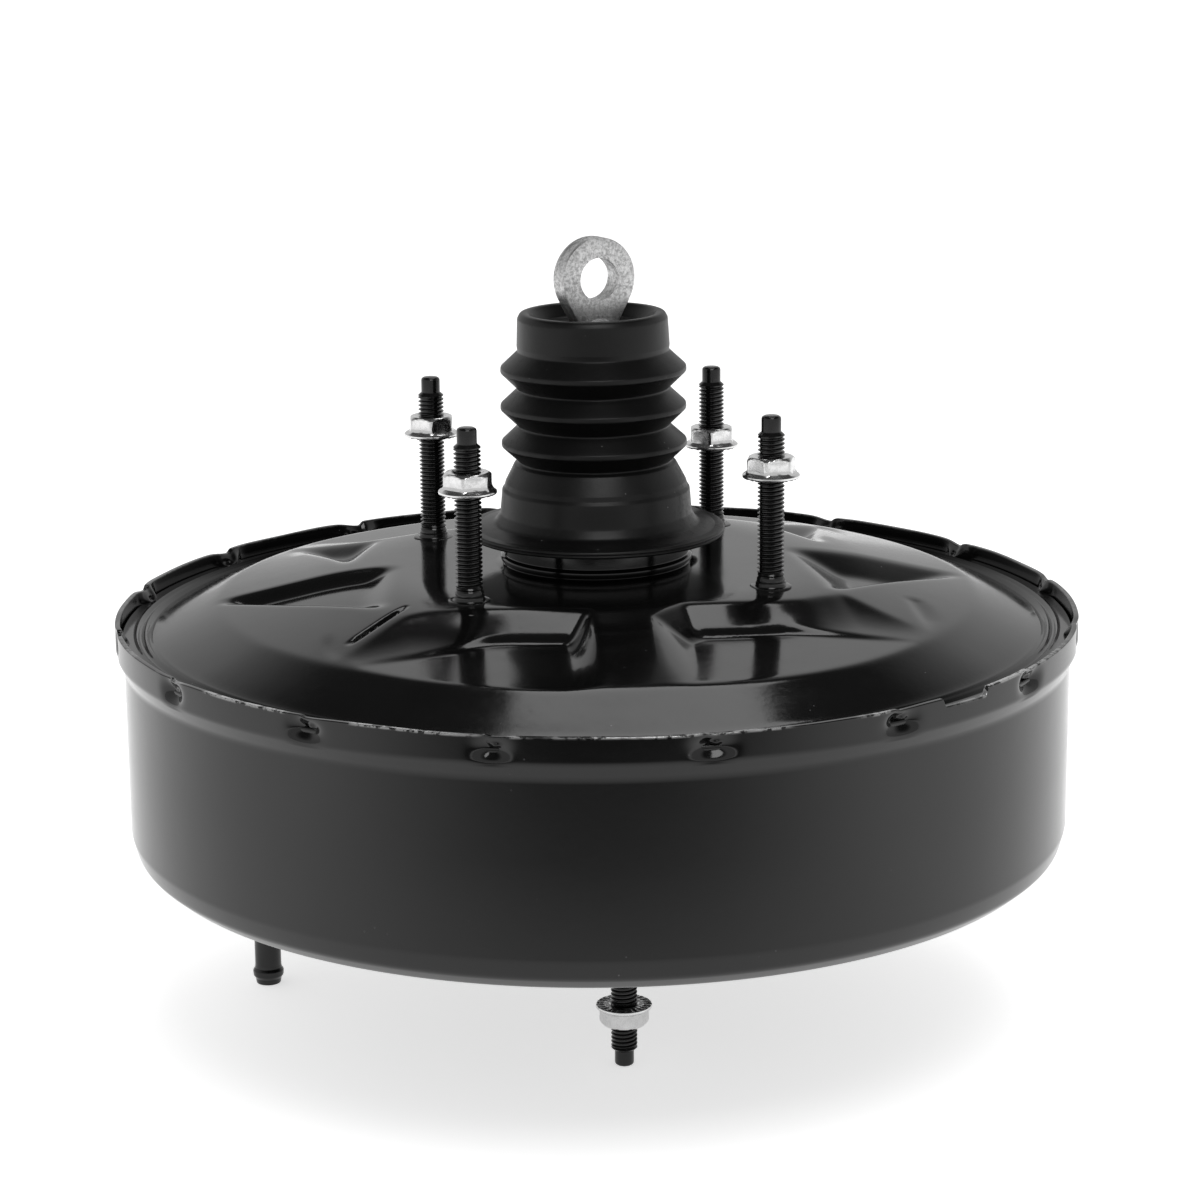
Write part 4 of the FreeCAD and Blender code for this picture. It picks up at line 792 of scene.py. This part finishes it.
def make_dust_boot():
    """The boot: foot lips, skirt, three folds with sharp valleys, and the mouth."""
    outside = [
        (27.2, BOOT_FOOT, 0.4), (38.7, BOOT_FOOT, 0.5), (38.9, 9.7, 0.3), (38.45, 10.0, 0.2),
        (38.9, 10.3, 0.3), (38.6, 11.1, 0.6), (36.0, 11.3, 1.0), (30.6, 12.6, 2.2),
        (28.9, 15.5, 2.0), (28.3, 22.6, 1.0), (27.6, 23.6, 0.4), (27.2, 25.0, 0.8),
    ]
    inside = [(27.2, 21.5, 0.5), (25.9, 24.8, 1.0)]
    outside += [(24.4, 30.4, 1.2), (23.0, 31.4, 0.6)]
    inside += [(23.0, 30.6, 1.2), (21.6, 31.6, 0.5)]
    for z in RIDGES:
        outside += [(27.9, z - 0.7, 0.8), (27.8, z + 0.7, 0.8), (22.7, z + 5.4, 0.7)]
        inside += [(26.5, z - 0.6, 0.6), (26.4, z + 0.6, 0.6), (21.3, z + 5.5, 0.5)]
    outside += [
        (22.9, 66.0, 0.8), (22.5, 74.2, 1.5), (21.6, BOOT_TOP, 1.6), (19.2, BOOT_TOP, 1.6),
        (16.6, 72.2, 1.6), (12.2, 71.6, 0.5), (11.7, 70.8, 0.5),
    ]
    inside += [(21.0, 66.0, 0.8), (20.9, 71.2, 1.2), (11.8, 70.2, 0.4)]
    path = divided(rounded(outside + inside[::-1], 4), 1.2)
    angles = np.arange(BOOT_COLS) * TAU / BOOT_COLS
    r, z = path[:, :1], path[:, 1:]
    seam_at, seam_half, seam_high = SEAM
    seam = np.exp(-(turn_between(np.degrees(angles), seam_at) / seam_half) ** 2)
    skirt = np.clip((z - 12.5) / 2, 0, 1) * np.clip((24.5 - z) / 1.5, 0, 1) * (r > 27)
    wobble = 0.12 * np.sin(3 * angles + z / 9) + 0.08 * np.sin(5 * angles - z / 6)
    lifted = np.clip((z - 12.0) / 20, 0, 1)
    radius = r + seam * skirt * seam_high + wobble * lifted * (r > 20)
    lean = BOOT_LEAN * np.clip(z - LEAN_FROM, 0, None)
    tilt = lifted * BOOT_TILT * radius * np.cos(angles)
    points = np.stack([
        radius * np.cos(angles) - lean, radius * np.sin(angles), z + tilt + 0 * angles], -1)
    faces = grid_faces(*points.shape[:2]).reshape(-1, 4)
    piece = mesh_piece("rubber_boot", points.reshape(-1, 3), faces, "boot_rubber", 60)
    place(piece, "housing", "boot_rubber", "dust_boot")
    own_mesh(piece)


make_dust_boot()


# Push rod with its eye: the eye's height, radius, hole, half thickness and turn, then the
# keystone neck that flares into the eye's cheeks
EYE_Z, EYE_R, EYE_HOLE = 86.0, 12.35, 6.4
EYE_HALF = 3.25
EYE_TURN = math.radians(20.4)
NECK_HALF, NECK_Z = 5.75, 62.0
CHEEK_HALF, CHEEK_Z = 10.6, 79.5
FLARE_Z = 71.1
# Insets of the two rings along which the sheared edge breaks
TORN_INSETS = (-0.22, -0.16)


def eye_outline(count=240):
    """The outer distance from the eye's centre at each angle, keystone neck included."""
    angles = np.arange(count) * TAU / count
    reach = np.full(count, EYE_R)
    side = [(CHEEK_HALF, CHEEK_Z), (NECK_HALF, FLARE_Z), (NECK_HALF, NECK_Z), (0.0, NECK_Z)]
    for (ax, az), (bx, bz) in zip(side, side[1:]):
        az, bz = az - EYE_Z, bz - EYE_Z
        dx, dz = abs(np.cos(angles)), np.sin(angles)
        cross = dx * (bz - az) - dz * (bx - ax)
        with np.errstate(divide="ignore", invalid="ignore"):
            far = (ax * (bz - az) - az * (bx - ax)) / cross
            if bz != az:
                share = (far * dz - az) / (bz - az)
            else:
                share = (far * dx - ax) / (bx - ax)
        hit = (dz < 0) & (far > 0) & (share >= -1e-6) & (share <= 1 + 1e-6)
        reach = np.where(hit, np.maximum(reach, far), reach)
    return angles, reach


def make_push_rod():
    """The eye from rings at depths, out from the hole or in from the outline, and its shaft."""
    angles, reach = eye_outline()
    shear = 0.12 * np.sin(angles * 7) + 0.06 * np.sin(angles * 19 + 1)
    rows = []
    for inset, depth in (
            (None, EYE_HALF - 0.35), (None, EYE_HALF - 0.05), (0.30, EYE_HALF), (3.0, EYE_HALF),
            (-0.55, EYE_HALF), (-0.15, EYE_HALF - 0.16), (0.0, EYE_HALF - 0.55),
            (0.0, 0.9), (-0.22, 0.5), (-0.16, -1.2), (0.0, -1.7), (-0.05, -EYE_HALF + 0.6),
            (-0.3, -EYE_HALF + 0.12), (-0.8, -EYE_HALF), (3.0, -EYE_HALF),
            (0.30, -EYE_HALF), (None, -EYE_HALF + 0.35), (None, 0.0)):
        if inset is None:
            radius = np.full(len(angles), EYE_HOLE)
        elif inset > 0:
            radius = np.full(len(angles), EYE_HOLE + inset)
        else:
            radius = reach + inset
            if inset in TORN_INSETS:
                depth = depth + shear
        rows.append(np.stack([
            radius * np.cos(angles), -depth + 0 * angles, EYE_Z + radius * np.sin(angles)], -1))
    eye = np.array(rows)
    eye_faces = grid_faces(*eye.shape[:2]).reshape(-1, 4)
    shaft = spun(rounded([
        (0.0, -1.5, 0), (2.4, -1.1, 0.5), (4.2, 1.4, 1.5), (4.5, 3.0, 1.5), (4.2, 4.6, 1.5),
        (3.4, 6.2, 0.8), (3.4, 10.2, 0.6), (5.2, 12.0, 0.6), (5.2, 31.1, 0.1), (6.4, 31.1, 0.2),
        (6.4, 32.6, 0.4), (5.2, 32.6, 0.2), (5.2, 72.7, 0.6), (3.9, 74.0, 0.3), (0.0, 74.0, 0),
    ]), 64)
    shaft_faces = grid_faces(*shaft.shape[:2]).reshape(-1, 4) + eye.shape[0] * eye.shape[1]
    points = np.concatenate([eye.reshape(-1, 3), shaft.reshape(-1, 3)])
    x, y, z = points.T
    points = np.stack([
        x * math.cos(EYE_TURN) - y * math.sin(EYE_TURN),
        x * math.sin(EYE_TURN) + y * math.cos(EYE_TURN), z], -1)
    piece = mesh_piece(
        "push_rod_eye", points, np.concatenate([eye_faces, shaft_faces]), "rod_zinc", 35)
    place(piece, "push_rod", "rod_zinc", "input_rod")


make_push_rod()


# Springs
def coil_piece(name, coil_r, wire_r, turns, low, high, finish):
    """A spring of round wire with closed end turns and rounded wire ends."""
    around, per_turn, eased = 14, 48, 0.25
    low, high = low + wire_r, high - wire_r
    total = turns + 1.5
    t = np.linspace(0, 1, int(total * per_turn) + 1)
    closed = 0.75 / total
    rise = np.clip((t - closed) / (1 - 2 * closed), 0, 1)
    rise = rise * (1 - eased) + eased * rise * rise * (3 - 2 * rise)
    level = low + (high - low) * rise
    spin = t * total * TAU
    centre = np.stack([coil_r * np.cos(spin), coil_r * np.sin(spin), level], -1)
    out = np.stack([np.cos(spin), np.sin(spin), 0 * spin], -1)
    up = np.array((0.0, 0.0, 1.0))
    rows = []
    for k, point in enumerate(centre):
        ends = min(k, len(t) - 1 - k)
        thick = wire_r * (0.0, 0.7, 1.0)[min(ends, 2)]
        turn = np.arange(around) * TAU / around
        rows.append(
            point + thick * (np.cos(turn)[:, None] * out[k] + np.sin(turn)[:, None] * up))
    points = np.array(rows)
    rows_count, cols = points.shape[:2]
    faces = grid_faces(rows_count, cols)[:-1].reshape(-1, 4)
    return mesh_piece(name, points.reshape(-1, 3), faces, finish, 60)


SPRING_LOW, SPRING_HIGH, SPRING_KEEP = -91.3, -26.0, 0.479
spring = place(
    coil_piece("return_coil", 27.0, 1.9, 5, SPRING_LOW, SPRING_HIGH, "spring_steel"),
    "housing", "spring_steel", "return_spring")
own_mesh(spring)

# The small spring around the push rod, with room above it for the tilting seat
INPUT_LOW, INPUT_HIGH, INPUT_KEEP = 17.65, 29.1, 0.91
input_coil = place(
    coil_piece("input_coil", 12.6, 0.65, 5, INPUT_LOW, INPUT_HIGH, "spring_steel"),
    "power_piston", "spring_steel", "input_spring")
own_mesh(input_coil)


def make_diaphragm():
    piece = lathe("rolling_diaphragm", [
        (26.3, -15.0, 0.3), (121.7, -15.0, 1.5), (121.7, -33.0, 3.0), (127.7, -38.0, 3.0),
        (133.8, -38.0, 3.0), (136.8, -33.0, 2.0), (136.8, -19.9, 0.6), (143.3, -19.9, 0.5),
        (143.3, -21.0, 0.5), (141.0, -23.1, 0.6), (141.0, -25.5, 0.6), (138.3, -25.5, 0.6),
        (138.3, -33.0, 2.0), (134.5, -39.5, 3.0), (126.1, -39.5, 3.0), (120.1, -33.0, 3.0),
        (120.1, -16.6, 1.5), (26.3, -16.6, 0.3),
    ], "seal_rubber", cols=256, steps=6)
    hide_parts("diaphragm")
    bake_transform(piece)


make_diaphragm()


# Rubber and filter pieces inside, redrawn with their rounded lips
SEAL_TOP = -76.3
# Name, body, finish, replaced node, columns and outline
TURNED_INSIDE = [
    ("lip_seal", "housing", "seal_rubber", "rear_seal", 160, [
        (19.9, 9.5, 0.3), (21.6, 9.3, 0.5), (25.0, 9.3, 0.5), (25.0, 12.0, 0.4),
        (24.7, 12.6, 0.3), (25.0, 13.2, 0.3), (25.0, 17.7, 0.5), (23.6, 17.7, 0.6),
        (23.4, 12.8, 0.8), (21.8, 12.6, 0.8), (21.2, 15.8, 0.6), (20.5, 16.6, 0.4),
        (19.9, 16.0, 0.3), (20.3, 13.0, 0.8),
    ]),
    ("rod_seal", "housing", "seal_rubber", "front_seal", 128, [
        (6.3, SEAL_TOP - 4.8, 0.3), (7.6, SEAL_TOP - 5.3, 0.4), (14.2, SEAL_TOP - 5.3, 0.6),
        (14.2, SEAL_TOP - 3.2, 0.4), (13.9, SEAL_TOP - 2.6, 0.3), (14.2, SEAL_TOP - 2.0, 0.4),
        (14.2, SEAL_TOP, 0.6), (12.6, SEAL_TOP, 0.4), (11.8, SEAL_TOP - 2.0, 0.6),
        (9.2, SEAL_TOP - 2.0, 0.6), (8.2, SEAL_TOP, 0.5), (6.4, SEAL_TOP - 0.2, 0.4),
        (6.8, SEAL_TOP - 2.4, 0.8),
    ]),
    ("poppet_rubber", "power_piston", "seal_rubber", "poppet_valve", 128, [
        (7.6, 8.5, 0.3), (8.4, 8.3, 0.3), (12.7, 8.3, 0.4), (13.0, 9.5, 0.5), (12.5, 10.8, 0.5),
        (12.0, 11.0, 0.4), (12.1, 14.0, 0.6), (13.2, 14.3, 0.3), (16.0, 14.3, 0.4),
        (16.2, 15.3, 0.4), (16.0, 16.3, 0.4), (10.8, 16.3, 0.6), (10.6, 14.0, 0.8),
        (10.7, 10.9, 0.5), (8.0, 10.8, 0.5), (7.6, 9.8, 0.4),
    ]),
    ("felt_ring", "power_piston", "filter_felt", "air_filter", 128, [
        (8.6, 33.4, 0.6), (9.4, 33.2, 1.2), (15.6, 33.2, 1.2), (16.2, 34.2, 1.0),
        (16.0, 37.3, 2.0), (16.2, 40.6, 1.0), (15.4, 41.5, 1.2), (9.2, 41.5, 1.2),
        (8.6, 40.4, 1.0), (8.9, 37.3, 2.0),
    ]),
    ("foam_ring", "power_piston", "filter_foam", "silencer", 128, [
        (8.6, 42.2, 0.5), (9.2, 41.8, 0.8), (15.6, 41.8, 0.8), (16.2, 42.6, 0.7),
        (16.2, 44.0, 0.7), (15.6, 44.7, 0.8), (9.2, 44.7, 0.8), (8.6, 44.0, 0.6),
    ]),
    ("rubber_disc", "power_piston", "seal_rubber", "reaction_disc", 128, [
        (0.0, -31.1, 0), (11.6, -31.1, 0.8), (12.2, -30.2, 0.8), (12.0, -27.0, 2.0),
        (12.2, -23.8, 0.8), (11.4, -22.8, 0.8), (0.0, -22.8, 0),
    ]),
]
for name, body, finish, node, cols, outline in TURNED_INSIDE:
    place(lathe(name, outline, finish, cols=cols), body, finish, node)


# Finishes of the pieces inside that keep their shape
INNER = {
    "rear_reinforcement": "bare_steel", "front_reinforcement": "bare_steel",
    "diaphragm_plate": "bare_steel", "diaphragm_retainer": "bare_steel",
    "valve_body": "phenolic", "valve_key": "bare_steel", "valve_plunger": "bare_steel",
    "rear_bearing": "white_plastic", "rear_bearing_retainer": "bare_steel",
    "front_seal_retainer": "bare_steel", "poppet_retainer": "bare_steel",
    "poppet_spring": "spring_steel", "input_spring_seat": "bare_steel",
    "output_rod": "bare_steel", "output_rod_retainer": "spring_steel",
    "output_rod_tip": "bare_steel",
}
for node, finish in INNER.items():
    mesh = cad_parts[node].data
    mesh.materials.clear()
    mesh.materials.append(FINISHES[finish])


# Studio: white floor and backdrop, a dark ceiling, one softbox in front and one behind
FLOOR_Z = -0.146
FLOOR_HALF = 12.0
FLOOR_GLOW = 0.62
MIRRORED_GLOW = 0.8
# Grey of the floor, and its grey in the painted shadow under the photographer that reflections see
FLOOR_WHITE, FLOOR_PAINTED_SHADE = 0.88, 0.08
# Painted shadow under the photographer, seen only in reflections: where the floor fades for
# mirrored light, and over which distances
PAINTED_SHADE_SPOT = (-0.14, -0.9, FLOOR_Z)
PAINTED_SHADE_REACH = (0.3, 0.85)


def make_floor():
    """The floor: white to the camera, with the object's shadow, and a painted shadow under the
    photographer that darkens it in reflections.
    """
    mesh = bpy.data.meshes.new("floor")
    h = FLOOR_HALF
    mesh.from_pydata([(-h, -h, FLOOR_Z), (h, -h, FLOOR_Z), (h, h, FLOOR_Z), (-h, h, FLOOR_Z)],
                     [], [(0, 1, 2, 3)])
    floor = bpy.data.objects.new("floor", mesh)
    bpy.context.collection.objects.link(floor)
    f = Finish("floor", Roughness=1.0)
    f.shader.inputs["Specular IOR Level"].default_value = 0.0
    seen = f.node("ShaderNodeLightPath")
    spot = f.node("ShaderNodeVectorMath", {0: f.place, 1: PAINTED_SHADE_SPOT}, operation="DISTANCE")
    away = f.span(spot.outputs["Value"], *PAINTED_SHADE_REACH)
    mirrored = f.math("MULTIPLY", seen.outputs["Is Glossy Ray"], away)
    dimmed = f.math("MULTIPLY", mirrored, MIRRORED_GLOW)
    lit = f.math("MAXIMUM", seen.outputs["Is Camera Ray"], dimmed)
    lit = f.math("MAXIMUM", lit, seen.outputs["Is Transmission Ray"])
    f.feed((1, 1, 1, 1), f.shader.inputs["Emission Color"])
    f.set("Emission Strength", f.math("MULTIPLY", lit, FLOOR_GLOW))
    # Painted shade: near the photographer the floor's colour darkens for mirrored light only
    in_painted_shade = f.math("SUBTRACT", seen.outputs["Is Glossy Ray"], mirrored)
    f.set("Base Color", f.shade(in_painted_shade, FLOOR_WHITE, FLOOR_PAINTED_SHADE))
    mesh.materials.append(f.material)


make_floor()


# World: white to the camera, WORLD_LIGHT on surfaces, and in reflections a pale horizon that
# darkens to the ceiling; each stop is a share of the way up and a grey
WORLD_LIGHT = 0.62
HORIZON, CEILING = (0.46, 0.65), (0.68, 0.05)


def grey(level):
    return (level, level, level, 1)


def make_world():
    world = bpy.data.worlds.new("studio")
    bpy.context.scene.world = world
    world.use_nodes = True
    nodes, links = world.node_tree.nodes, world.node_tree.links
    background = nodes["Background"]
    seen = nodes.new("ShaderNodeLightPath")
    where = nodes.new("ShaderNodeTexCoord")
    split = nodes.new("ShaderNodeSeparateXYZ")
    links.new(where.outputs["Generated"], split.inputs[0])
    ramp = nodes.new("ShaderNodeValToRGB")
    links.new(split.outputs["Z"], ramp.inputs[0])
    for stop, (position, level) in zip(ramp.color_ramp.elements, (HORIZON, CEILING)):
        stop.position, stop.color = position, grey(level)
    mirror = nodes.new("ShaderNodeMix")
    mirror.data_type = "RGBA"
    links.new(seen.outputs["Is Glossy Ray"], mirror.inputs[0])
    mirror.inputs[6].default_value = grey(WORLD_LIGHT)
    links.new(ramp.outputs["Color"], mirror.inputs[7])
    straight = nodes.new("ShaderNodeMath")
    straight.operation = "MAXIMUM"
    links.new(seen.outputs["Is Camera Ray"], straight.inputs[0])
    links.new(seen.outputs["Is Transmission Ray"], straight.inputs[1])
    direct = nodes.new("ShaderNodeMix")
    direct.data_type = "RGBA"
    links.new(straight.outputs[0], direct.inputs[0])
    links.new(mirror.outputs[2], direct.inputs[6])
    direct.inputs[7].default_value = grey(1)
    links.new(direct.outputs[2], background.inputs["Color"])
    background.inputs["Strength"].default_value = 1.0


make_world()


def make_softbox(name, azimuth, elevation, distance, width, height, radiance):
    """An area lamp facing the object; azimuth as seen from above, 0 towards +X."""
    data = bpy.data.lights.new(name, "AREA")
    data.shape = "RECTANGLE"
    data.size, data.size_y = width, height
    data.energy = radiance * math.pi * width * height
    a, e = math.radians(azimuth), math.radians(elevation)
    away = Vector((math.cos(a) * math.cos(e), math.sin(a) * math.cos(e), math.sin(e)))
    lamp = bpy.data.objects.new(name, data)
    lamp.location = away * distance
    lamp.rotation_mode = "QUATERNION"
    lamp.rotation_quaternion = (-away).to_track_quat("-Z", "Y")
    bpy.context.collection.objects.link(lamp)


# Azimuth, elevation, distance, width, height and radiance
make_softbox("softbox_front", -88.0, 52.0, 1.7, 0.9, 0.6, 4.5)
make_softbox("softbox_behind", 72.0, 62.0, 1.7, 0.7, 0.5, 2.3)

bpy.context.scene.view_settings.view_transform = "Standard"
